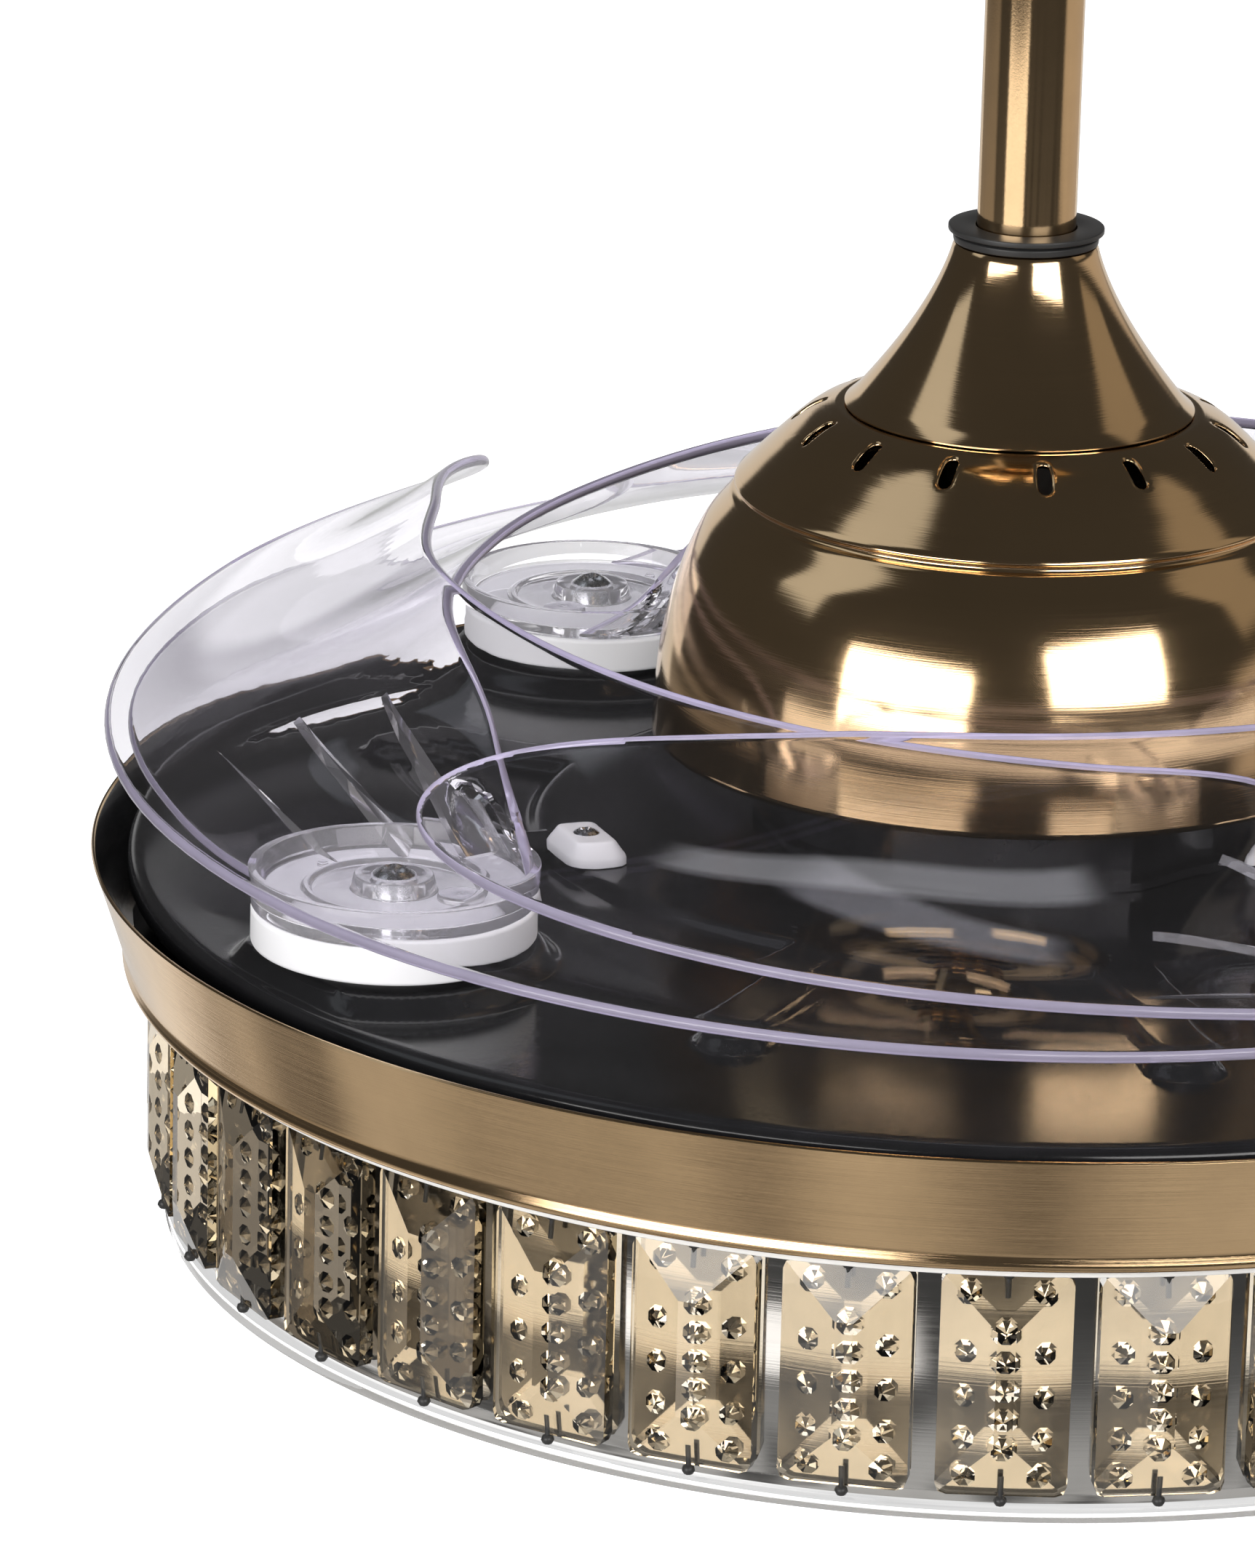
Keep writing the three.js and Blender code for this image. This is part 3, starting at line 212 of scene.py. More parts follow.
def raised(outline, rows):
    """Closed outline (counter-clockwise) stacked in rows of (inset, height), each row the outline moved
    inwards by the inset along its normals, and both ends gathered to the middle."""
    outline = np.asarray(outline, float)
    edge = np.roll(outline, -1, 0) - np.roll(outline, 1, 0)
    normal = unit(np.stack([edge[:, 1], -edge[:, 0]], -1))
    middle = outline.mean(0)
    rows = np.asarray(rows, float)
    flat = outline[None] - normal[None] * rows[:, 0][:, None, None]
    flat = np.concatenate([np.broadcast_to(middle, flat[:1].shape), flat,
                           np.broadcast_to(middle, flat[:1].shape)])
    z = np.concatenate([rows[:1, 1], rows[:, 1], rows[-1:, 1]])
    points = np.concatenate([flat, np.broadcast_to(z[:, None, None], flat[..., :1].shape)], -1)
    return points.reshape(-1, 3), grid(len(z), len(outline), False, True)[:, ::-1]


def spun(part, angle, centre=(0.0, 0.0)):
    """A part, (points, faces[, material number]), whose points are moved by the centre and then turned
    by an angle in degrees about the upright axis."""
    c, s = math.cos(math.radians(angle)), math.sin(math.radians(angle))
    points = np.asarray(part[0], float) + np.array([*centre, 0.0])
    return points @ np.array([[c, s, 0], [-s, c, 0], [0, 0, 1.0]]), *part[1:]


def hub_directions():
    """Directions of the four pivots, in degrees."""
    return FIRST_HUB + 90.0 * np.arange(4)


def piece(name, parts, body, finishes, nodes=(), crease=38.0, flat=False):
    """One object from parts of (points in millimetres, faces[, material number]): joined, welded, shaded
    smooth below the crease angle, in named finishes, riding on a body and standing for its nodes."""
    points, faces, numbers, offset = [], [], [], 0
    for part in parts:
        points.append(np.asarray(part[0], float))
        faces += (np.asarray(part[1]) + offset).tolist()
        numbers += [part[2] if len(part) > 2 else 0] * len(part[1])
        offset += len(part[0])
    mesh = bpy.data.meshes.new(name)
    mesh.from_pydata(in_frame(np.concatenate(points)).tolist(), [], faces)
    for label in finishes:
        mesh.materials.append(finish(label))
    mesh.polygons.foreach_set("material_index", np.array(numbers, np.int32))
    shape = bmesh.new()
    shape.from_mesh(mesh)
    bmesh.ops.remove_doubles(shape, verts=shape.verts, dist=2e-6)
    shape.to_mesh(mesh)
    shape.free()
    mesh.polygons.foreach_set("use_smooth", np.full(len(mesh.polygons), not flat))
    if not flat:
        mesh.set_sharp_from_angle(angle=math.radians(crease))
    mesh.validate()
    thing = bpy.data.objects.new(name, mesh)
    bpy.context.scene.collection.objects.link(thing)
    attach(thing, body)
    if nodes:
        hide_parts(*nodes)
    return thing


# ---- finishes

def plug(made, values):
    """Gives a node its settings, and its inputs by number or by name with spaces as underscores. A value
    that is a socket is linked, any other is set."""
    for key, value in values.items():
        if isinstance(key, str) and hasattr(made, key):
            setattr(made, key, value)
            continue
        socket = made.inputs[key if isinstance(key, int) else key.replace("_", " ")]
        if isinstance(value, bpy.types.NodeSocket):
            made.id_data.links.new(value, socket)
        elif value is not None:
            socket.default_value = value


def node(tree, kind, *inputs, **values):
    """A new node of a kind, its first inputs in order and the others by name."""
    made = tree.nodes.new("ShaderNode" + kind)
    plug(made, {**dict(enumerate(inputs)), **values})
    return made


def maths(tree, operation, first, second=None):
    """operation(first, second), where each may be a socket or a number."""
    return node(tree, "Math", first, second, operation=operation).outputs[0]


def ramp(tree, source, stops):
    """Colours over a socket, from stops of (position, colour)."""
    made = node(tree, "ValToRGB", source)
    elements = made.color_ramp.elements
    for k, (position, colour) in enumerate(stops):
        stop = elements[k] if k < 2 else elements.new(position)
        stop.position, stop.color = position, (*colour, 1.0)
    return made.outputs[0]


def spun_marks(tree, place, rings, depth):
    """Marks of spinning and polishing: noise over (radius, height) with hardly any change round the axis.
    Cloud is broad smears, Fine the rings, and the Normal is bumped by the rings."""
    x, y, z = node(tree, "SeparateXYZ", place).outputs
    radius = maths(tree, "SQRT", maths(tree, "ADD", maths(tree, "MULTIPLY", x, x),
                                       maths(tree, "MULTIPLY", y, y)))
    ring = node(tree, "CombineXYZ", maths(tree, "MULTIPLY", radius, rings),
                maths(tree, "MULTIPLY", z, rings),
                maths(tree, "MULTIPLY", maths(tree, "ARCTAN2", y, x), 0.6))
    lines = node(tree, "TexNoise", ring.outputs[0], Scale=1.0, Detail=3.0, Roughness=0.65)
    cloud = node(tree, "TexNoise", place, Scale=26.0, Detail=4.0, Roughness=0.55)
    return cloud, lines, node(tree, "Bump", Strength=depth, Height=lines.outputs[0], Distance=0.0001)


def grain_marks(tree, place, size, depth):
    """Grain of paint, moulded plastic or cast metal: noise in three directions at two sizes. Cloud is
    broad, Fine the grain, and the Normal is bumped by the grain."""
    cloud = node(tree, "TexNoise", place, Scale=38.0, Detail=5.0, Roughness=0.6)
    grain = node(tree, "TexNoise", place, Scale=size, Detail=2.0, Roughness=0.5)
    return cloud, grain, node(tree, "Bump", Strength=depth, Height=grain.outputs[0], Distance=0.0002)


SPUN, GRAIN = "spun marks", "even grain"
# Groups of marks: their first input with its value, the value of their Depth, and what makes their nodes.
MARKS = {SPUN: ("Rings", 3000.0, 0.02, spun_marks), GRAIN: ("Size", 900.0, 0.1, grain_marks)}


def marks_group(name):
    """A shader group of marks, made once, that gives Cloud (broad), Fine and Normal. What makes its nodes
    takes the tree, the Object coordinates and the group's two inputs, and returns the nodes of the three."""
    if name in bpy.data.node_groups:
        return bpy.data.node_groups[name]
    tree = bpy.data.node_groups.new(name, "ShaderNodeTree")
    first, size, depth, make = MARKS[name]
    for label, value in ((first, size), ("Depth", depth)):
        tree.interface.new_socket(label, in_out="INPUT", socket_type="NodeSocketFloat").default_value = value
    for label, kind in (("Cloud", "Float"), ("Fine", "Float"), ("Normal", "Vector")):
        tree.interface.new_socket(label, in_out="OUTPUT", socket_type="NodeSocket" + kind)
    source, result = tree.nodes.new("NodeGroupInput"), tree.nodes.new("NodeGroupOutput")
    place = node(tree, "TexCoord").outputs["Object"]
    for k, made in enumerate(make(tree, place, *source.outputs[:2])):
        tree.links.new(made.outputs[0], result.inputs[k])
    return tree


# Covered finishes. Each has a colour or the name of one of the fan's colours, the two ends of its
# roughness, its marks, their depth and their number to a metre, how metallic it is, the share by which
# the colour darkens, and other values of the shader.
COATS = {
    # Plating: spun covers, the rod drawn along, the rim brushed round its axis.
    "polished_rose_gold": ("rose_gold", (0.07, 0.13), SPUN, 0.12, 2600.0, 1.0, 0.06, {}),
    "satin_rose_gold": ("rose_gold", (0.08, 0.14), GRAIN, 0.03, 1800.0, 1.0, 0.10, {}),
    "brushed_rose_gold": ("rose_gold", (0.07, 0.17), SPUN, 0.35, 4200.0, 1.0, 0.12, {}),
    # Paint over pressed steel, and moulded plastic with a fine grain. The black paint also serves as painted
    # shade on the rim band's inner face.
    "satin_black_coat": ("black_coat", (0.10, 0.20), GRAIN, 0.006, 900.0, 0.0, 0.3,
                         {"Specular_IOR_Level": 0.45}),
    "black_plastic": ((0.012, 0.012, 0.015), (0.14, 0.26), GRAIN, 0.05, 1600.0, 0.0, 0.3, {}),
    # Nylon and milky diffuser plastic, with a little light under the skin.
    "white_nylon": ("nylon", (0.3, 0.42), GRAIN, 0.04, 1100.0, 0.0, 0.05,
                    {"Subsurface_Weight": 0.15, "Subsurface_Radius": (0.004, 0.004, 0.004)}),
    "opal_diffuser": ((0.86, 0.85, 0.83), (0.3, 0.45), GRAIN, 0.03, 900.0, 0.0, 0.04,
                      {"Subsurface_Weight": 0.3, "Subsurface_Radius": (0.006, 0.006, 0.006)}),
    # Clouded zinc, turned or stamped steel, varnished copper, and the drum's mirror sheet.
    "zinc_plate": ((0.74, 0.75, 0.77), (0.18, 0.34), GRAIN, 0.08, 1500.0, 1.0, 0.15, {}),
    "bare_steel": ((0.36, 0.36, 0.37), (0.28, 0.5), SPUN, 0.3, 1500.0, 1.0, 0.25, {}),
    "wound_core": ((0.42, 0.2, 0.09), (0.3, 0.55), SPUN, 0.6, 1200.0, 0.7, 0.4, {}),
    "mirror_sheet": ((0.80, 0.79, 0.77), (0.05, 0.14), SPUN, 0.1, 1800.0, 1.0, 0.12, {}),
    # The blades' polished edges, which gather light and show a milky violet.
    "violet_edge": ("clear_edge", (0.08, 0.16), GRAIN, 0.02, 900.0, 0.0, 0.12,
                    {"Transmission_Weight": 0.55, "IOR": 1.45}),
}

# Clear finishes. Each has its tint face on and at its grazing edges, the two ends of its roughness, how
# far the tint of the edges reaches in, its index of refraction and the share that is clear.
GLASSES = {
    "clear_blade": ((0.985, 0.98, 0.99), "clear_edge", (0.0, 0.03), 0.16, 1.49, 1.0),
    "clear_disc": ((0.97, 0.965, 0.985), (0.80, 0.77, 0.90), (0.01, 0.05), 0.25, 1.47, 0.92),
    "clear_trim": ((0.99, 0.99, 0.99), (0.96, 0.96, 0.97), (0.0, 0.02), 0.2, 1.08, 1.0),
    "crystal_glass": ("crystal", (0.844, 0.675, 0.442), (0.0, 0.01), 0.4, 1.56, 1.0),
    "crystal_edge": ((0.92, 0.74, 0.46), (0.80, 0.54, 0.24), (0.02, 0.08), 0.5, 1.5, 1.0),
}
SCRATCHES, SCRATCH_DEPTH = 160.0, 0.006     # fine scratches to a metre of glass, and their depth


def tint_of(colour):
    """A colour as it is, or one of the fan's colours by its name."""
    return tuple(getattr(bpy.context.scene.fan_colours, colour) if isinstance(colour, str) else colour)


def gloss(tree, source, span, rough):
    """Roughness between two ends, over a span of a socket's values."""
    return node(tree, "MapRange", source, *span, *rough).outputs[0]


def finish(name):
    """A finish by its name, made once. In a coat the base colour follows the group's Cloud and the
    roughness its Fine marks. In glass the tint follows Layer Weight and the roughness the Cloud."""
    if name in bpy.data.materials:
        return bpy.data.materials[name]
    material = bpy.data.materials.new(name)
    material.use_nodes = True
    tree = material.node_tree
    shader = tree.nodes["Principled BSDF"]
    marks = tree.nodes.new("ShaderNodeGroup")
    if name in COATS:
        colour, rough, group, depth, size, metallic, shade, others = COATS[name]
        marks.node_tree = marks_group(group)
        colour = tint_of(colour)
        dark = [c * (1.0 - shade) for c in colour]
        light = [min(1.0, c * (1.0 + 0.5 * shade)) for c in colour]
        tone = ramp(tree, marks.outputs["Cloud"], ((0.3, dark), (0.7, light)))
        roughness = gloss(tree, marks.outputs["Fine"], (0.25, 0.75), rough)
        values = {"Metallic": metallic, **others}
    else:
        face, edge, rough, blend, index, clear = GLASSES[name]
        marks.node_tree = marks_group(GRAIN)
        depth, size = SCRATCH_DEPTH, SCRATCHES
        facing = node(tree, "LayerWeight", Blend=blend).outputs["Facing"]
        tone = ramp(tree, facing, ((0.0, tint_of(face)), (1.0, tint_of(edge))))
        roughness = gloss(tree, marks.outputs["Cloud"], (0.4, 0.8), rough)
        values = {"Metallic": 0.0, "Transmission_Weight": clear, "IOR": index}
    plug(marks, {0: size, 1: depth})
    plug(shader, {"Base_Color": tone, "Roughness": roughness, "Normal": marks.outputs["Normal"], **values})
    return material


# ---- column and covers

class FAN_OT_column(Operator):
    """Hanging rod and the collar on it"""
    bl_idname = "fan.column"
    bl_label = "Rod and collar"

    def execute(self, context):
        radius = millimetres("rod_radius")
        rod = rounded([[radius, 112], [radius, 370], [10.8, 370], [10.8, 112]], 0.5, 3)
        piece("rod_skin", [turned(rod, 96)], "hanger", ["satin_rose_gold"], ["downrod"])
        low = 170.8
        collar = rounded([
            [radius + 0.3, low], [19.5, low], [19.7, low + 1.9], [18.0, low + 2.1],
            [18.0, low + 2.8], [21.0, low + 2.9], [21.0, low + 4.4], [radius + 0.3, low + 4.4]], 0.35, 3)
        piece("collar_skin", [turned(collar, 96)], "hanger", ["black_plastic"],
              ["rod_collar"])
        return {"FINISHED"}


def bell_profile(wall):
    """Outer line: a quadratic bow (1-t)^2 a + 2 t (1-t) c + t^2 b from the top edge to the base; the
    inner line is the same bow moved in by the wall."""
    base, peak = 125.0, 170.5
    top, control, foot = np.array([[19.4, peak], [24.2, (peak + base) / 2 + 3.7], [47.0, base]])
    t = np.linspace(0, 1, 40)[:, None]
    outer = (1 - t) ** 2 * top + 2 * t * (1 - t) * control + t ** 2 * foot
    run = np.gradient(outer, axis=0)
    inner = outer - unit(np.stack([-run[:, 1], run[:, 0]], -1)) * wall
    inner[:, 1] = np.clip(inner[:, 1], base, peak - wall)
    shoulder = np.array([[14.6, peak], [18.6, peak], [19.2, peak - 0.2]])
    lip = np.array([[47.3, base + 0.5], [47.3, base + 0.1]])
    return np.concatenate([shoulder, outer[1:-2], lip, inner[::-1], [[14.6, peak - wall]]])


class FAN_OT_bell(Operator):
    """Trumpet-shaped cover under the collar"""
    bl_idname = "fan.bell"
    bl_label = "Bell cover"

    def execute(self, context):
        wall = millimetres("cover_wall")
        piece("bell_skin", [turned(bell_profile(wall), 192)], "hanger", ["polished_rose_gold"],
              ["bell_cover"])
        return {"FINISHED"}


def dome_line():
    """Outer line of the dome from its hole to its rim: flat crown, shoulder, pressed step, flank."""
    shoulder = through([[48, 124.7], [50, 124.5], [57.5, 121], [68.5, 111], [76.2, 103.2]], 8)
    step = through([[76.2, 103.2], [76.5, 102.3], [75.6, 101.2], [75.9, 100.2], [77.4, 99.2]], 4)
    flank = through([[77.4, 99.2], [84.6, 90], [91.4, 74], [95.8, 54], [97, 31]], 14)
    return np.concatenate([[[21, 124.7], [40, 124.7]], shoulder, step[1:], flank[1:]])


def vent_patch(count, centre, half, sides):
    """Patch round one vent slot: rows run from the slot's edge out to a square border, so point (i, j) is
    slot_j + (border_j - slot_j) w_i, and the rows next to the slot are rolled inwards."""
    width = centre * math.pi / count
    top = np.linspace(-width, width, sides + 1)[:-1]
    side = np.linspace(-half, half, 9)[:-1]
    border = np.concatenate([
        np.stack([np.full(sides, half), top], -1), np.stack([-side, np.full(8, width)], -1),
        np.stack([np.full(sides, -half), -top], -1), np.stack([side, np.full(8, -width)], -1)])
    turn = np.arctan2(border[:, 1], border[:, 0])
    c, s = np.abs(np.cos(turn)), np.abs(np.sin(turn))
    straight, tip = 2.7, 1.8
    flat_hit = tip / np.maximum(s, 1e-6)
    round_hit = straight * c + np.sqrt(np.maximum(tip ** 2 - (straight * s) ** 2, 0.0))
    reach = np.where(flat_hit * c <= straight, flat_hit, round_hit)
    slot = np.stack([reach * np.cos(turn), reach * np.sin(turn)], -1)
    w = np.array([0.0, 0.03, 0.07, 0.12, 0.2, 0.35, 0.6, 1.0])[:, None, None]
    flat = slot[None] + (border - slot)[None] * w
    gap = np.linalg.norm(flat - slot[None], axis=-1)
    return flat, 0.55 * np.exp(-(gap / 0.45) ** 2)


class FAN_OT_dome(Operator):
    """Motor dome with its vent slots"""
    bl_idname = "fan.dome"
    bl_label = "Motor dome"

    def execute(self, context):
        sizes = context.scene.fan_sizes
        count, centre, half, sides = sizes.vent_count, 57.0, 7.0, 16
        line = dome_line()

        def heights(r):
            return np.interp(r, line[:60, 0], line[:60, 1])

        columns, first = count * sides, math.radians(FIRST_VENT)
        a = first - math.pi / count + around(columns)
        parts = []
        crown = np.concatenate([line[line[:, 0] < centre - half - 0.2][:12],
                                [[centre - half, heights(centre - half)]]])
        below = np.concatenate([[[centre + half, heights(centre + half)]],
                                line[np.argmax(line[:, 0] > centre + half + 0.3):]])
        for rows in (crown, below):
            parts.append((carried(rows, a).reshape(-1, 3), grid(len(rows), columns, False, True)))
        flat, drop = vent_patch(count, centre, half, sides)
        for k in range(count):
            r = centre + flat[..., 0]
            turn = first + 2 * math.pi * k / count + flat[..., 1] / centre
            points = np.stack([r * np.cos(turn), r * np.sin(turn), heights(r) - drop], -1)
            parts.append((points.reshape(-1, 3), grid(flat.shape[0], flat.shape[1], False, True)))
        dome = piece("dome_skin", parts, "hanger", ["polished_rose_gold"], ["dome_cover"], 60.0)
        shape = bmesh.new()
        shape.from_mesh(dome.data)
        bmesh.ops.remove_doubles(shape, verts=shape.verts, dist=2e-5)
        bmesh.ops.recalc_face_normals(shape, faces=shape.faces)
        shape.to_mesh(dome.data)
        shape.free()
        wall = dome.modifiers.new("sheet", "SOLIDIFY")
        wall.thickness = sizes.cover_wall
        wall.offset = -1.0
        return {"FINISHED"}


class FAN_OT_canopy(Operator):
    """Canopy at the ceiling"""
    bl_idname = "fan.canopy"
    bl_label = "Canopy"

    def execute(self, context):
        wall = millimetres("cover_wall")
        t = np.linspace(0, np.pi / 2, 40)
        radius = 21.7 + 48.3 * np.cos(t).clip(0) ** 0.72
        outer = np.stack([radius, RIM_DROP - 0.3 - 65.7 * np.sin(t)], -1)
        inner = outer.copy()
        inner[:, 0] -= wall
        inner[:, 1] = np.minimum(inner[:, 1] + wall * np.sin(t), RIM_DROP - 0.3)
        hole = np.array([[20.5, RIM_DROP - 66.0], [20.5, RIM_DROP - 66.0 + wall]])
        profile = np.concatenate([outer, hole, inner[::-1]])
        piece("canopy_skin", [turned(profile, 160)], "ceiling_mount", ["polished_rose_gold"],
              ["canopy"])
        return {"FINISHED"}


class FAN_OT_rim(Operator):
    """Polished conical rim band with its rolled bead; its inner face is darkened with painted shade"""
    bl_idname = "fan.rim"
    bl_label = "Rim band"

    def execute(self, context):
        top = millimetres("rim_radius")
        outer = through([[top - 0.1, -0.5], [top - 3.3, -10.0], [top - 6.6, -20.2], [top - 9.2, -28.6]], 8)
        bead = through([[top - 9.2, -28.6], [top - 8.9, -30.0], [top - 8.7, -31.2], [top - 9.4, -32.4],
                        [top - 10.6, -33.0]], 5)
        inner = [[top - 12.0, -33.0], [top - 11.2, -29.6], [top - 1.3, -0.4], [top - 0.9, 0.0],
                 [top - 0.4, 0.0]]
        profile = np.concatenate([outer, bead[1:], inner])
        points, faces = turned(profile, 360)
        middle = points[faces].mean(1)
        line = np.array(sorted(outer.tolist(), key=lambda spot: spot[1]))
        wall = np.interp(middle[:, 2], line[:, 1], line[:, 0])
        # Faces of the inner wall, down in the narrow gap under the tray's edge, take the black paint as
        # painted shade.
        inside = (np.hypot(middle[:, 0], middle[:, 1]) < wall - 0.6) & (np.abs(middle[:, 2] + 15.2) < 14.6)
        piece("rim_skin", [(points, faces[~inside]), (points, faces[inside], 1)], "hanger",
              ["brushed_rose_gold", "satin_black_coat"], ["rim_band"])
        return {"FINISHED"}


# ---- blade tray

RIB_RISE, RING_RISE = 4.0, 5.6      # heights of the tray's plateau and ribs, and of the rings round the hubs


def tray_height(x, y):
    """Height of the pressed tray: the largest of plateau, hub rings and ribs, each a smooth ramp
    of the distance from its own edge."""
    radius = np.hypot(x, y)
    height = RIB_RISE * smooth((132.0 - radius) / 5.0)
    for direction in hub_directions():
        a = math.radians(direction)
        reach = np.hypot(x - HUB_CIRCLE * math.cos(a), y - HUB_CIRCLE * math.sin(a))
        height = np.maximum(height, RING_RISE * smooth((44.5 - reach) / 6.6))
        for turn in (30.8, 67.2):
            b = math.radians(direction + turn)
            along = x * math.cos(b) + y * math.sin(b)
            off = -x * math.sin(b) + y * math.cos(b)
            edge = np.hypot(np.maximum(along - 184.0, 0.0), off) - 9.0
            rib = RIB_RISE * smooth((1.6 - edge) / 3.4) * (along > 100)
            height = np.maximum(height, rib)
    return height


class FAN_OT_tray(Operator):
    """Pressed black tray under the blades"""
    bl_idname = "fan.tray"
    bl_label = "Blade tray"

    def execute(self, context):
        edge = millimetres("tray_radius")
        steps = 880
        radii = np.concatenate([[60.0, 90.0, 118.0], np.linspace(124, 134, 9), np.linspace(136, 154, 8),
                                np.linspace(156, 232, 52), [233.5, 235.0]])
        roll = np.linspace(0, np.pi / 2, 7)
        rim = np.stack([edge - 3.6 + 3.6 * np.sin(roll), -3.6 + 3.6 * np.cos(roll)], -1)
        base = np.concatenate([np.stack([radii, np.zeros(len(radii))], -1), rim, [[edge, -6.6]]])
        a = around(steps)
        x, y = base[:, :1] * np.cos(a), base[:, :1] * np.sin(a)
        fade = smooth((edge - 4.0 - base[:, :1]) / 4.0)
        z = base[:, 1:] + tray_height(x, y) * fade
        under = np.array([[edge - 0.2, -7.0], [edge - 1.3, -7.0], [edge - 1.6, -5.0], [234.0, -1.6],
                          [134.0, -1.6], [126.0, 2.4], [60.0, 2.4]])
        points = np.concatenate([np.stack([x, y, z], -1), carried(under, a)])
        faces = grid(points.shape[0], steps, True, True)
        piece("tray_skin", [(points.reshape(-1, 3), faces)], "rotor", ["satin_black_coat"],
              ["blade_tray"], 50.0)
        return {"FINISHED"}


def cross_head(radius, rise, low, depth, steps=48):
    """Screw head: a spherical dome with a cross recess. Height = low + rise (1 - (r/R)^2), less the depth
    where the distance from the nearer arm of the cross is small."""
    share = np.array([0, 0.12, 0.24, 0.36, 0.45, 0.52, 0.6, 0.7, 0.82, 0.92, 1.0])[:, None]
    a = around(steps)[None]
    x, y = radius * share * np.cos(a), radius * share * np.sin(a)
    arm = np.minimum(np.abs(x), np.abs(y)) / radius
    inside = smooth((0.24 - arm) / 0.1) * smooth((0.66 - share) / 0.1)
    z = low + rise * (1 - share ** 2) - depth * inside * (1 - 0.4 * share)
    top = np.stack([x, y, np.broadcast_to(z, x.shape)], -1)
    foot = top[[-1, 0]]
    foot[..., 2] = low - 0.8
    points = np.concatenate([top, foot])
    return points.reshape(-1, 3), grid(points.shape[0], steps, False, True)


def rounded_box(length, width, corner, steps):
    """Outline of a rectangle with round corners: quarter circles at its four corners."""
    a = np.linspace(0, np.pi / 2, steps)
    quarter = np.stack([np.cos(a), np.sin(a)], -1) * corner
    outline = []
    for k, (sx, sy) in enumerate(((1, 1), (-1, 1), (-1, -1), (1, -1))):
        c, s = math.cos(k * math.pi / 2), math.sin(k * math.pi / 2)
        turned_quarter = quarter @ np.array([[c, s], [-s, c]])
        outline.append(turned_quarter + [sx * (length / 2 - corner), sy * (width / 2 - corner)])
    return np.concatenate(outline)


class FAN_OT_guides(Operator):
    """White nylon guide blocks and their screws"""
    bl_idname = "fan.guides"
    bl_label = "Guide blocks"

    def execute(self, context):
        places = [(122.0, 200.5), (122.0, 320.5), (122.0, 80.5), (80.0, 341.0)]
        block = raised(rounded_box(17.0, 26.0, 5.6, 4), [[0.0, 4.3], [0.0, 6.4], [0.4, 7.2], [2.6, 10.4],
                                                         [3.0, 11.0], [3.6, 11.3], [5.0, 11.3]])
        screw = cross_head(3.6, 1.5, 11.4, 1.1)
        for k, (radius, angle) in enumerate(places):
            piece(f"guide_skin_{k + 1}", [spun(block, angle, (radius, 0))], "rotor",
                  ["white_nylon"], [f"guide_block_{k + 1}"], 50.0)
            piece(f"guide_screw_skin_{k + 1}", [spun(screw, angle, (radius, 0))], "rotor",
                  ["zinc_plate"], [f"guide_screw_{k + 1}"], 40.0)
        return {"FINISHED"}


def pinion_part():
    """Pinion under a hub: twenty teeth whose radius falls from 27.2, 1.6 degrees off a tooth's middle, to
    22.15 at 4.8 degrees, closed above and below."""
    offset, reach = np.array([-4.8, -1.6, 1.6, 4.8]), np.array([22.15, 27.2, 27.2, 22.15])
    a = np.radians(18.0 * np.arange(20)[:, None] + 9.0 + offset).ravel()
    radius = np.tile(reach, 20)
    rows = [(12.0, -12.4), (radius, -12.4), (radius, -4.2), (28.4, -4.0), (12.0, -4.0)]
    points = np.stack([np.stack([r * np.cos(a), r * np.sin(a), np.full_like(a, z)], -1) for r, z in rows])
    return points.reshape(-1, 3), grid(len(rows), len(a), True, True)[:, ::-1]


class FAN_OT_hubs(Operator):
    """White nylon hubs that carry the blades, and their pivot screws"""
    bl_idname = "fan.hubs"
    bl_label = "Blade hubs"

    def execute(self, context):
        radius = millimetres("hub_radius")
        profile = rounded([[5.3, -4.0], [28.4, -4.0], [28.4, 7.7], [radius - 0.4, 7.7], [radius, 8.4],
                           [radius, 16.7], [radius - 0.6, 17.3], [5.3, 17.3]], 0.5, 3)
        hub = (turned(profile, 128), pinion_part())
        shank = turned([[0.02, 14.0], [5.2, 14.0], [5.2, SCREW_SEAT - 0.7], [0.02, SCREW_SEAT - 0.7]], 40)
        screw = (cross_head(5.6, 2.6, SCREW_SEAT, 1.5), shank)
        for k, direction in enumerate(hub_directions()):
            piece(f"hub_skin_{k + 1}", [spun(part, direction, (HUB_CIRCLE, 0)) for part in hub],
                  f"blade_arm_{k + 1}", ["white_nylon"], [f"blade_hub_{k + 1}"])
            piece(f"pivot_screw_skin_{k + 1}", [spun(part, direction, (HUB_CIRCLE, 0)) for part in screw],
                  "rotor", ["zinc_plate"], [f"pivot_screw_{k + 1}"], 40.0)
        return {"FINISHED"}


# ---- clear blades

def sheet_section(turn, across):
    """Middle surface of a blade. With t = 0.5 + (across - 0.5) closing, the radius runs evenly from the
    inner to the outer edge and the height falls as (1 - t)^1.6; closing is an ellipse past TIP_START."""
    closing = np.sqrt(np.clip(1 - (np.maximum(turn - TIP_START, 0) / (TIP_TURN - TIP_START)) ** 2, 0, 1))
    t = 0.5 + (across - 0.5) * closing
    inner = hermite(INNER_EDGE[:, 0], INNER_EDGE[:, 1:], turn)
    outer = hermite(OUTER_EDGE[:, 0], OUTER_EDGE[:, 1:], turn)
    radius = HUB_CIRCLE + inner[..., 0] + (outer[..., 0] - inner[..., 0]) * t
    height = outer[..., 1] + (inner[..., 1] - outer[..., 1]) * (1 - t) ** CURL
    a = -np.radians(turn)
    return np.stack([radius * np.cos(a), radius * np.sin(a), height], -1)


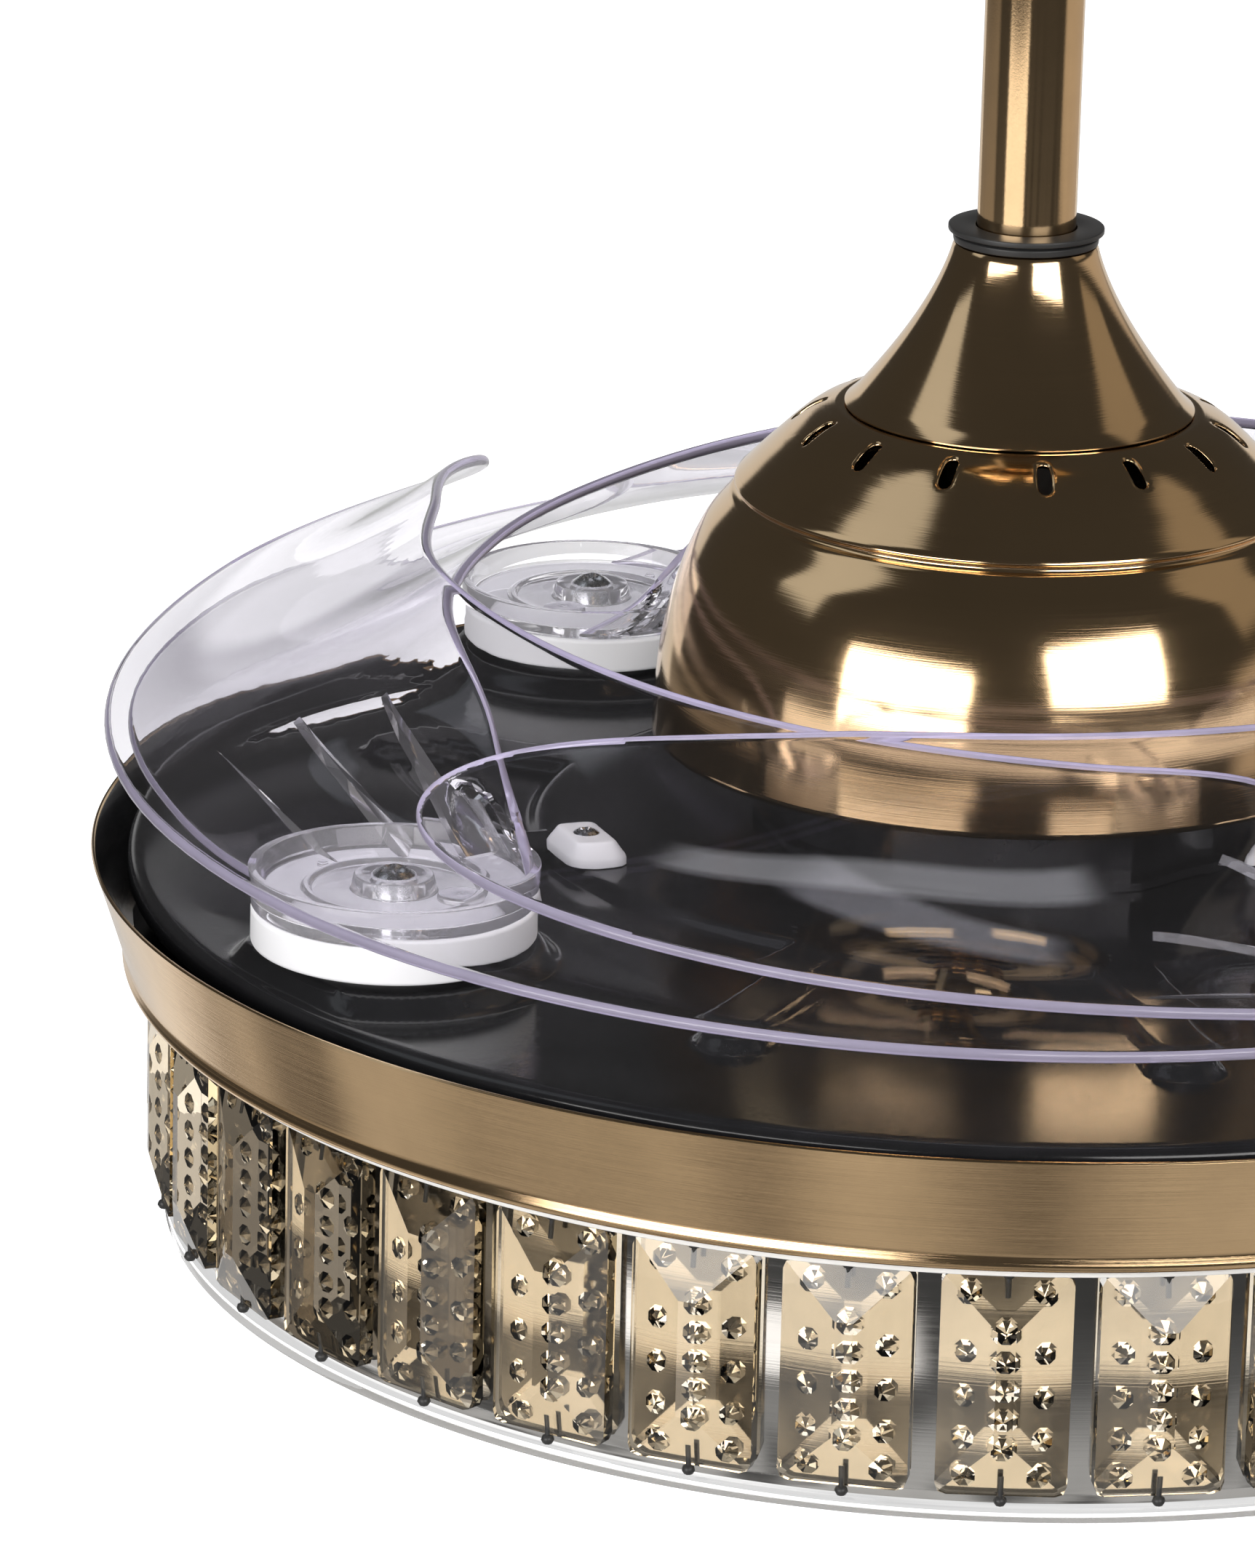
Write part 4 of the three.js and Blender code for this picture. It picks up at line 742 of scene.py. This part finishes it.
def sheet_root(across):
    """Where the sheet leaves the disc: a point of the wall's circle in the sector from ROOT_FROM to
    ROOT_TO, and its turn round the fan."""
    direction = np.radians(ROOT_FROM + (ROOT_TO - ROOT_FROM) * across)
    root = np.stack([HUB_CIRCLE - DISC_WALL * np.cos(direction), -DISC_WALL * np.sin(direction),
                     np.full_like(direction, DISC_LOW + 1.3)], -1)
    return root, -np.degrees(np.arctan2(root[..., 1], root[..., 0]))


def sheet_point(along, across):
    """The section carried from the clear disc's wall to the tip; near the root it is shifted on to the
    disc by 1 - smooth((turn - root turn) / ROOT_BLEND)."""
    root, root_turn = sheet_root(across)
    turn = root_turn + (TIP_TURN - root_turn) * along
    shift = root - sheet_section(root_turn, across)
    fade = 1 - smooth((turn - root_turn) / ROOT_BLEND)
    return sheet_section(turn, across) + shift * fade[..., None]


def clustered(count, share):
    """Steps from 0 to 1 that lie closer at both ends: s - share sin(2 pi s) / (2 pi)."""
    s = np.linspace(0, 1, count)
    return s - share * np.sin(2 * np.pi * s) / (2 * np.pi)


def blade_sheet_part(rows=120, columns=30):
    """Closed sheet: the middle surface plus and minus its normal times half the thickness, which falls to
    nothing at the free edges as a quarter circle of the distance d: 1.5 sqrt(1 - (1 - d / 1.5)^2)."""
    along, across = np.meshgrid(clustered(rows, 0.9), clustered(columns, 0.93), indexing="ij")
    middle = sheet_point(along, across)
    step = 1e-3
    a = np.clip(along, step, 0.985)
    run = sheet_point(a + step, across) - sheet_point(a - step, across)
    c = np.clip(across, step, 1 - step)
    span = sheet_point(a, c + step) - sheet_point(a, c - step)
    normal = unit(np.cross(run, span))
    normal *= np.sign(normal[..., 2:])
    width = np.linalg.norm(span, axis=-1) / (2 * step)
    side = np.minimum(across, 1 - across) * width
    root_turn = sheet_root(across)[1]
    turn = root_turn + (TIP_TURN - root_turn) * along
    u = np.clip((turn - TIP_START) / (TIP_TURN - TIP_START), 0, 1)
    v = 2 * across - 1
    long, half = math.radians(TIP_TURN - TIP_START) * TIP_RADIUS, TIP_HALF
    inside = (1 - u ** 2) * (1 - v ** 2)
    slope = 2 * np.hypot(u / long, v * np.sqrt(1 - u ** 2) / half)
    gap = np.minimum(side, np.where(u > 0.02, inside / np.maximum(slope, 1e-6), 1e3))
    half_wall = SHEET / 2 * np.sqrt(np.clip(1 - (1 - np.clip(gap / (SHEET / 2), 0, 1)) ** 2, 0, 1))
    half_wall[:, 0] = half_wall[:, -1] = half_wall[-1] = 0.0
    upper = middle + normal * half_wall[..., None]
    lower = middle - normal * half_wall[..., None]
    upper_faces = grid(rows, columns)
    j = np.arange(columns - 1)
    root_end = np.stack([j, j + 1, j + 1 + rows * columns, j + rows * columns], -1)
    faces = np.concatenate([upper_faces, upper_faces[:, ::-1] + rows * columns, root_end])
    points = np.concatenate([upper.reshape(-1, 3), lower.reshape(-1, 3)])
    first = points[faces[columns // 2]]
    if np.cross(first[1] - first[0], first[2] - first[0])[2] < 0:
        faces = faces[:, ::-1]
    share = np.concatenate([half_wall.ravel(), half_wall.ravel()]) / (SHEET / 2)
    rim = share[faces].min(1) < EDGE_SHARE
    rim[-len(root_end):] = False
    return points, faces, rim


def disc_part():
    """Clear disc of a blade: flared wall, raised floor ring and screw boss, carried round the pivot."""
    low = DISC_LOW
    profile = [[5.9, low], [36.9, low], [37.5, low + 0.7], [38.3, low + 8.4], [35.9, low + 8.4],
               [34.6, low + 3.0], [33.9, low + 2.6], [24.4, low + 2.6], [23.8, low + 3.5],
               [22.4, low + 3.5], [21.8, low + 2.4], [11.4, low + 2.4], [10.5, SCREW_SEAT],
               [5.9, SCREW_SEAT]]
    return turned(rounded(profile, 0.45, 3), 144, (HUB_CIRCLE, 0))


def web_part(across):
    """Three-cornered web, 2.8 mm thick, with its foot at the disc's wall and its head up the sheet."""
    foot, head = (sheet_point(np.array([along]), np.array([across]))[0] for along in (0.004, 0.11))
    centre = np.array([HUB_CIRCLE, 0, foot[2]])
    start = foot + unit(centre - foot) * 13.0
    side = unit(np.cross(head - start, foot - start)) * 1.4
    corners = np.array([start, foot, head])
    points = np.concatenate([corners + side, corners - side])
    faces = [[0, 1, 2], [3, 5, 4], [0, 3, 4, 1], [1, 4, 5, 2], [2, 5, 3, 0]]
    return points, faces


def boss_part(x, y, radius, height):
    """Low round boss on the disc's floor."""
    low = DISC_LOW + 2.5
    top = low + height
    profile = rounded([[0.01, low], [radius, low], [radius - 0.3, top], [0.01, top]], 0.3, 3)
    return turned(profile, 32, (x, y))


class FAN_OT_blades(Operator):
    """Clear blades: disc, webs and curled sheet"""
    bl_idname = "fan.blades"
    bl_label = "Clear blades"

    def execute(self, context):
        sheet, sheet_faces, rim = blade_sheet_part()
        parts = [(sheet, sheet_faces[~rim]), (sheet, sheet_faces[rim], 1), (*disc_part(), 2),
                 (*boss_part(HUB_CIRCLE - 10.0, 16.5, 6.4, 1.6), 2),
                 (*boss_part(HUB_CIRCLE + 6.0, -25.0, 1.6, 1.4), 2)]
        for across in (0.25, 0.5, 0.75):
            points, faces = web_part(across)
            parts += [(points, faces[:2], 2), (points, faces[2:], 2)]
        for k, direction in enumerate(hub_directions()):
            placed = [spun(part, direction) for part in parts]
            blade = piece(f"blade_skin_{k + 1}", placed, f"blade_arm_{k + 1}",
                          ["clear_blade", "violet_edge", "clear_disc"], [f"blade_{k + 1}"], 40.0)
            blade.visible_shadow = False
        return {"FINISHED"}


# ---- lamp

def box_profile(near, far, low, high):
    """Profile of a ring with upright walls, between two radii and two heights."""
    return [[near, low], [far, low], [far, high], [near, high]]


class FAN_OT_lamp(Operator):
    """Mirror drum, white strip, bottom diffuser and clear ring"""
    bl_idname = "fan.lamp"
    bl_label = "Lamp body"

    def execute(self, context):
        radius = millimetres("drum_radius")
        drum = [[radius, -101.0], [radius, -32.7], [radius - 1.4, -32.7], [radius - 1.4, -99.6],
                [radius - 6.0, -99.6], [radius - 6.0, -101.0]]
        for name, profile, cut, corner, steps, slot, label, stands_for in (
                ("drum_skin", drum, 0.3, 2, 288, "crystal", "mirror_sheet", "crystal_ring"),
                ("strip_skin", box_profile(228.4, 236.9, -35.3, -32.7), 0.4, 3, 288, "opal",
                 "opal_diffuser", "diffuser_strip"),
                ("diffuser_skin", box_profile(0.02, 223.6, -99.3, -96.3), [0, 0.6, 0.6, 0], 3, 180, "opal",
                 "opal_diffuser", "bottom_diffuser"),
                ("clear_ring_skin", box_profile(222.4, 229.4, -104.7, -101.3), 0.7, 4, 288,
                 "clear_acrylic", "clear_trim", "clear_ring")):
            ring = turned(rounded(profile, cut, corner), steps)
            made = piece(name, [ring], "hanger", [label], [stands_for])
            made.visible_shadow = label != "clear_trim"
        return {"FINISHED"}


PIT_DEPTH = 2.7             # how deep the cones are drilled into a crystal's back
EDGE_DEPTH = 4.2            # thickness of a crystal at its edges
RIDGE_DEPTH = 9.4           # thickness that its four planes would reach without the table
TABLE_SHARE = 0.86          # share of that rise at which the table cuts them off


def facet_depth(x, z, width, height):
    """Front of a crystal: four planes rising from its edges and cut off by a narrow flat table. Depth =
    edge + (ridge - edge) min(share across, share along, table share), both shares 0 at an edge."""
    across = (width / 2 - np.abs(x)) / (width / 2)
    along = (height / 2 - np.abs(z)) / (width / 2)
    return EDGE_DEPTH + (RIDGE_DEPTH - EDGE_DEPTH) * np.minimum(across, along).clip(0, TABLE_SHARE)


def pit_places(height):
    """Middles and radii of the pits: five down each side and five closer ones down the middle."""
    side = np.array([0.39, 0.13, -0.07, -0.26, -0.42]) * height
    middle = np.array([0.22, 0.09, -0.04, -0.17, -0.29]) * height
    columns = ((-9.2, side, 2.9), (9.2, side, 2.9), (0.0, middle, 3.0))
    return np.concatenate([np.stack([np.full(5, x), z, np.full(5, radius)], -1) for x, z, radius in columns])


def filled(flat, edges):
    """Constrained triangulation of flat points: the points that it gives back, and its faces."""
    made = delaunay_2d_cdt(list(map(Vector, flat.tolist())), edges.tolist(), [], 0, 1e-5)
    return np.array([spot[:] for spot in made[0]]), made[2]


def crystal_part(width, height):
    """One crystal, its back at depth 0: a flat back with cone pits and a front of facets, both from
    constrained triangulations of the outline, and the side wall between them."""
    border = rounded_box(width, height, 3.0, 3)
    n, k = len(border), np.arange(len(border))
    outline = np.stack([k, (k + 1) % n], -1)

    pits = pit_places(height)
    m = len(pits)
    a = around(8) + np.pi / 8
    rims = pits[:, None, :2] + pits[:, None, 2:] * np.stack([np.cos(a), np.sin(a)], -1)[None]
    ring = np.arange(m * 8).reshape(m, 8)
    edges = np.concatenate([outline, n + np.stack([ring, np.roll(ring, -1, 1)], -1).reshape(-1, 2)])
    spots, back_faces = filled(np.concatenate([border, rims.reshape(-1, 2), pits[:, :2]]), edges)
    away = np.linalg.norm(spots[:, None] - pits[None, :, :2], axis=-1) / pits[None, :, 2]
    back = np.column_stack([(PIT_DEPTH * (1 - away.clip(0, 1))).max(1), spots])

    x, z = width / 2 * (1 - TABLE_SHARE), height / 2 - width / 2 * TABLE_SHARE
    t = n + np.arange(4)
    edges = np.concatenate([outline, np.stack([t, np.roll(t, -1)], -1), np.stack([t, [1, 4, 7, 10]], -1)])
    spots, front_faces = filled(np.concatenate([border, [[x, z], [-x, z], [-x, -z], [x, -z]]]), edges)
    front = np.column_stack([facet_depth(*spots.T, width, height), spots])

    upper = np.column_stack([facet_depth(*border.T, width, height), border])
    points = np.concatenate([front, back, upper, np.column_stack([np.zeros(n), border])])
    faces = [list(f) for f in front_faces] + [[v + len(front) for v in f[::-1]] for f in back_faces]
    return points, faces, (grid(2, n, False, True) + len(front) + len(back)).tolist()


def pin_part(inner, outer, radial):
    """Small pin through the end of a crystal: a stem from `inner` to a round head at `outer`, both
    carried round an upright line."""
    way = 1.0 if outer > inner else -1.0
    reach = abs(outer - inner)
    profile = np.array([[0.0, 0.0], [0.75, 0.1], [0.75, reach - 2.6], [1.5, reach - 2.2], [1.8, reach - 1.2],
                        [1.2, reach - 0.2], [0.0, reach]])
    profile[:, 1] = inner + way * profile[:, 1]
    faces = grid(len(profile), 8, False, True)
    return carried(profile, around(8), (radial, 0)).reshape(-1, 3), faces if way < 0 else faces[:, ::-1]


class FAN_OT_crystals(Operator):
    """Bevelled crystals round the drum, and the pins that hold them"""
    bl_idname = "fan.crystals"
    bl_label = "Crystals"

    def execute(self, context):
        back, height = millimetres("drum_radius") + 0.8, millimetres("crystal_height")
        points, front, walls = crystal_part(millimetres("crystal_width"), height)
        points = points + np.array([back, 0.0, -36.9 - height / 2])
        held = [pin_part(inner, outer, back + 4.2) for inner, outer in ((-43.4, -35.6), (-91.0, -99.6))]
        glass, pins = [], []
        count = context.scene.fan_sizes.crystal_count
        for k in range(count):
            angle = FIRST_CRYSTAL + 360.0 * k / count
            glass += [spun((points, front), angle), spun((points, walls, 1), angle)]
            pins += [spun(pin, angle) for pin in held]
        crystals = piece("crystals", glass, "hanger", ["crystal_glass", "crystal_edge"], flat=True)
        crystals.visible_shadow = False
        piece("crystal_pins", pins, "hanger", ["black_plastic"], crease=50.0)
        return {"FINISHED"}


# ---- the nodes that stay

class FAN_OT_finishes(Operator):
    """Finishes of the inner parts that keep their own solids"""
    bl_idname = "fan.finishes"
    bl_label = "Inner parts"

    def execute(self, context):
        kinds = {
            "zinc_plate": ("ceiling_bracket", "canopy_screw", "ball_pin", "rod_pin", "bearing", "shaft_nut"),
            "black_plastic": ("receiver_box", "hanger_ball"),
            "bare_steel": ("yoke", "hollow_shaft", "magnet_ring", "carrier_ring", "return_spring"),
            "satin_black_coat": ("rotor_case", "lamp_pan"),
            "wound_core": ("stator",),
            "white_nylon": ("sync_ring",),
            "opal_diffuser": ("led_board", "led_driver"),
        }
        for label, starts in kinds.items():
            for name, thing in NODES.items():
                if name.startswith(starts) and not thing.hide_render:
                    thing.data.materials.clear()
                    thing.data.materials.append(finish(label))
        left = [n for n, o in NODES.items() if not o.hide_render and not o.data.materials]
        if left:
            raise RuntimeError(f"no finish for {left}")
        return {"FINISHED"}


# ---- stage

LIT = (0.0, 0.0, -0.35)     # point that the soft lights face
# The photograph's camera: place in metres, tilt and roll in degrees, focal length in millimetres.
CAMERA_PLACE = (-0.10337, -2.14386, 0.31078)
CAMERA_TILT, CAMERA_ROLL, CAMERA_LENS = 17.84, 1.397, 188.46
FLOOR = -1.6                # height of the floor
MIDDLE = 3.2                # radius of the floor's middle, which glass doesn't show
COLUMNS = 96                # columns of the shell round the set
DIM_AT, DIM_HALF = 158.0, 30.0      # direction and half width of the sector that glass doesn't show
# Brightness of the room from straight down (0) to straight up (1).
ROOM = ((0.0, 0.50), (0.22, 0.34), (0.30, 0.10), (0.40, 0.05), (1.0, 0.045))
BANDS = (0.42, 0.53, 0.22, 1.2)     # span of the noise, and the factors it gives from dark to bright bands
BANDS_BELOW = (-0.2, -0.45)         # heights between which the bands come in
# Panels of light round the set: direction from the front (right is positive), height of the middle, half
# width, half height, all in degrees, softness of the border and colour.
PANELS = (
    (-37.5, 10.5, 21.5, 10.5, 0.03, (6.0, 5.9, 5.8)),
    (31.5, 20.5, 19.0, 10.0, 0.03, (6.0, 5.9, 5.8)),
    (-35.0, -19.0, 22.0, 5.0, 0.12, (1.3, 1.25, 1.2)),
    (-90.0, 45.0, 10.0, 22.0, 0.10, (0.50, 0.54, 0.58)),
    (180.0, 74.0, 9.0, 3.0, 0.2, (1.6, 1.6, 1.7)),
    (-118.0, -24.0, 30.0, 12.0, 0.2, (0.17, 0.155, 0.14)),
    (112.0, -6.0, 36.0, 15.0, 0.20, (0.42, 0.38, 0.34)),
    (98.0, 34.0, 12.0, 18.0, 0.15, (0.24, 0.21, 0.17)),
    (180.0, -30.0, 33.0, 41.0, 0.08, (0.62, 0.62, 0.62)),
)


def soft_light(name, place, size, power):
    """A flat panel of light at a place, facing the lamp, that reflections and glass don't show."""
    data = bpy.data.lights.new(name, "AREA")
    data.shape, data.energy = "RECTANGLE", power
    data.size, data.size_y = size
    thing = bpy.data.objects.new(name, data)
    thing.location = place
    thing.rotation_euler = (Vector(LIT) - Vector(place)).to_track_quat("-Z", "Y").to_euler()
    thing.visible_glossy = thing.visible_transmission = False
    bpy.context.scene.collection.objects.link(thing)


def panel_mask(tree, sky, azimuth, elevation, half_width, half_height, soft):
    """1 inside a rectangle of sky and 0 outside it. With `ahead`, `side` and `up` its axes, the shares
    |sky.side| / sky.ahead and |sky.up| / sky.ahead are held against the tangents of its half angles."""
    a, e = math.radians(azimuth), math.radians(elevation)
    ahead = Vector((math.sin(a) * math.cos(e), -math.cos(a) * math.cos(e), math.sin(e)))
    side = Vector((math.cos(a), math.sin(a), 0))
    shares = [node(tree, "VectorMath", sky, axis, operation="DOT_PRODUCT").outputs["Value"]
              for axis in (ahead, side, ahead.cross(side))]
    front = maths(tree, "MAXIMUM", shares[0], 0.001)
    mask = maths(tree, "GREATER_THAN", shares[0], 0.0)
    for share, half in zip(shares[1:], (half_width, half_height)):
        edge = math.tan(math.radians(half))
        inside = node(tree, "MapRange", maths(tree, "DIVIDE", maths(tree, "ABSOLUTE", share), front),
                      edge * (1.0 + soft), edge * (1.0 - soft), interpolation_type="SMOOTHSTEP")
        mask = maths(tree, "MULTIPLY", mask, inside.outputs[0])
    return mask


def studio_world():
    """World of a dim room: brightness by height, broken into upright bands below the horizon, with the
    panels of light added."""
    world = bpy.data.worlds.new("studio")
    world.use_nodes = True
    tree = world.node_tree
    sky = node(tree, "TexCoord").outputs["Generated"]
    z = node(tree, "SeparateXYZ", sky).outputs["Z"]
    room = ramp(tree, node(tree, "MapRange", z, From_Min=-1.0).outputs[0],
                [(position, (level, level * 0.98, level * 0.95)) for position, level in ROOM])
    flat = node(tree, "VectorMath", sky, (1.0, 1.0, 0.12), operation="MULTIPLY").outputs[0]
    bands = node(tree, "TexNoise", flat, Scale=5.0, Detail=3.0, Roughness=0.6).outputs[0]
    contrast = node(tree, "MapRange", bands, *BANDS).outputs[0]
    low = node(tree, "MapRange", z, *BANDS_BELOW, interpolation_type="SMOOTHSTEP").outputs[0]
    banded = node(tree, "Mix", low)
    plug(banded, {2: 1.0, 3: contrast})
    total = node(tree, "VectorMath", room, operation="SCALE", Scale=banded.outputs[0]).outputs[0]
    for *shape, colour in PANELS:
        mask = panel_mask(tree, sky, *shape)
        total = node(tree, "VectorMath", mask, colour, total, operation="MULTIPLY_ADD").outputs[0]
    tree.links.new(total, tree.nodes["Background"].inputs[0])
    return world


def photo_camera():
    """Camera at its solved place: looking along +Y, tilted down, then rolled about its own line of sight."""
    camera = bpy.data.objects.new("camera", bpy.data.cameras.new("camera"))
    camera.data.lens, camera.data.sensor_width, camera.data.clip_end = CAMERA_LENS, 36.0, 100.0
    tilt = Matrix.Rotation(math.radians(90.0 - CAMERA_TILT), 4, "X")
    roll = Matrix.Rotation(math.radians(CAMERA_ROLL), 4, "Z")
    camera.matrix_world = Matrix.Translation(CAMERA_PLACE) @ tilt @ roll
    return camera


def studio_shell():
    """Pale floor that curves up into walls and a cover, cut into the middle of the floor, the rest
    of it with the foot of the walls, a sector of that at one side, and all above."""
    line = through([[MIDDLE, FLOOR], [5.0, FLOOR], [8.0, FLOOR], [10.5, -0.9], [11.5, -0.2], [11.7, 2.0],
                    [11.0, 5.0], [8.0, 7.5], [0.0, 8.0]], 8)
    line[0], line[-1] = (MIDDLE, FLOOR), (0.0, 8.0)
    cut = 1 + int(np.argmax(line[:, 1] >= -0.21))
    a = around(COLUMNS)
    dim = np.abs(np.degrees(a) - DIM_AT) < DIM_HALF
    every = np.ones(COLUMNS, bool)
    made = []
    for name, part, columns in (("floor_middle", np.array([[0.0, FLOOR], [MIDDLE, FLOOR]]), every),
                                ("floor", line[:cut], ~dim), ("floor_side", line[:cut], dim),
                                ("cover", line[cut - 1:], every)):
        faces = grid(len(part), COLUMNS, False, True).reshape(-1, COLUMNS, 4)[:, columns].reshape(-1, 4)
        mesh = bpy.data.meshes.new(name)
        mesh.from_pydata(carried(part, a).reshape(-1, 3).tolist(), [], faces.tolist())
        mesh.polygons.foreach_set("use_smooth", np.ones(len(mesh.polygons), bool))
        made.append(mesh)
    return made


class FAN_OT_stage(Operator):
    """Pale floor, soft lights and the camera"""
    bl_idname = "fan.stage"
    bl_label = "Stage"

    def execute(self, context):
        scene = context.scene
        paper = bpy.data.materials.new("pale_floor")
        paper.use_nodes = True
        plug(paper.node_tree.nodes["Principled BSDF"], {
            "Base_Color": (0.9, 0.9, 0.9, 1), "Roughness": 0.9, "Emission_Color": (1, 1, 1, 1),
            "Emission_Strength": 1.0})
        for mesh in studio_shell():
            mesh.materials.append(paper)
            shell = bpy.data.objects.new(mesh.name, mesh)
            scene.collection.objects.link(shell)
            shell.visible_diffuse = shell.visible_glossy = shell.visible_shadow = False
            shell.visible_transmission = mesh.name == "floor"

        soft_light("overhead", (0.2, -0.2, 2.2), (2.2, 1.6), 40)
        soft_light("fill", (-1.6, -2.2, 0.5), (1.4, 1.2), 34)
        scene.world = studio_world()
        scene.view_settings.view_transform = "Standard"
        scene.camera = photo_camera()
        scene.collection.objects.link(scene.camera)
        return {"FINISHED"}


# ---- add-on

OPERATORS = (FAN_OT_column, FAN_OT_bell, FAN_OT_dome, FAN_OT_canopy, FAN_OT_rim, FAN_OT_tray,
             FAN_OT_guides, FAN_OT_hubs, FAN_OT_blades, FAN_OT_lamp, FAN_OT_crystals, FAN_OT_finishes,
             FAN_OT_stage)


class FAN_PT_panel(Panel):
    """Lists the pieces, the sizes and the colours"""
    bl_label = "Folding blade fan"
    bl_idname = "FAN_PT_panel"
    bl_space_type = "VIEW_3D"
    bl_region_type = "UI"
    bl_category = "Fan"

    def draw(self, context):
        for group in (context.scene.fan_sizes, context.scene.fan_colours):
            box = self.layout.box()
            for key in group.__annotations__:
                box.prop(group, key)
        for operator in OPERATORS:
            self.layout.operator(operator.bl_idname)


CLASSES = (FanSizes, FanColours, *OPERATORS, FAN_PT_panel)


def register():
    for kind in CLASSES:
        bpy.utils.register_class(kind)
    bpy.types.Scene.fan_sizes = PointerProperty(type=FanSizes)
    bpy.types.Scene.fan_colours = PointerProperty(type=FanColours)


def unregister():
    del bpy.types.Scene.fan_colours
    del bpy.types.Scene.fan_sizes
    for kind in reversed(CLASSES):
        bpy.utils.unregister_class(kind)


def main():
    """Registers the add-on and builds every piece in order."""
    register()
    for operator in OPERATORS:
        group, name = operator.bl_idname.split(".")
        getattr(getattr(bpy.ops, group), name)()


if __name__ == "__main__":
    main()
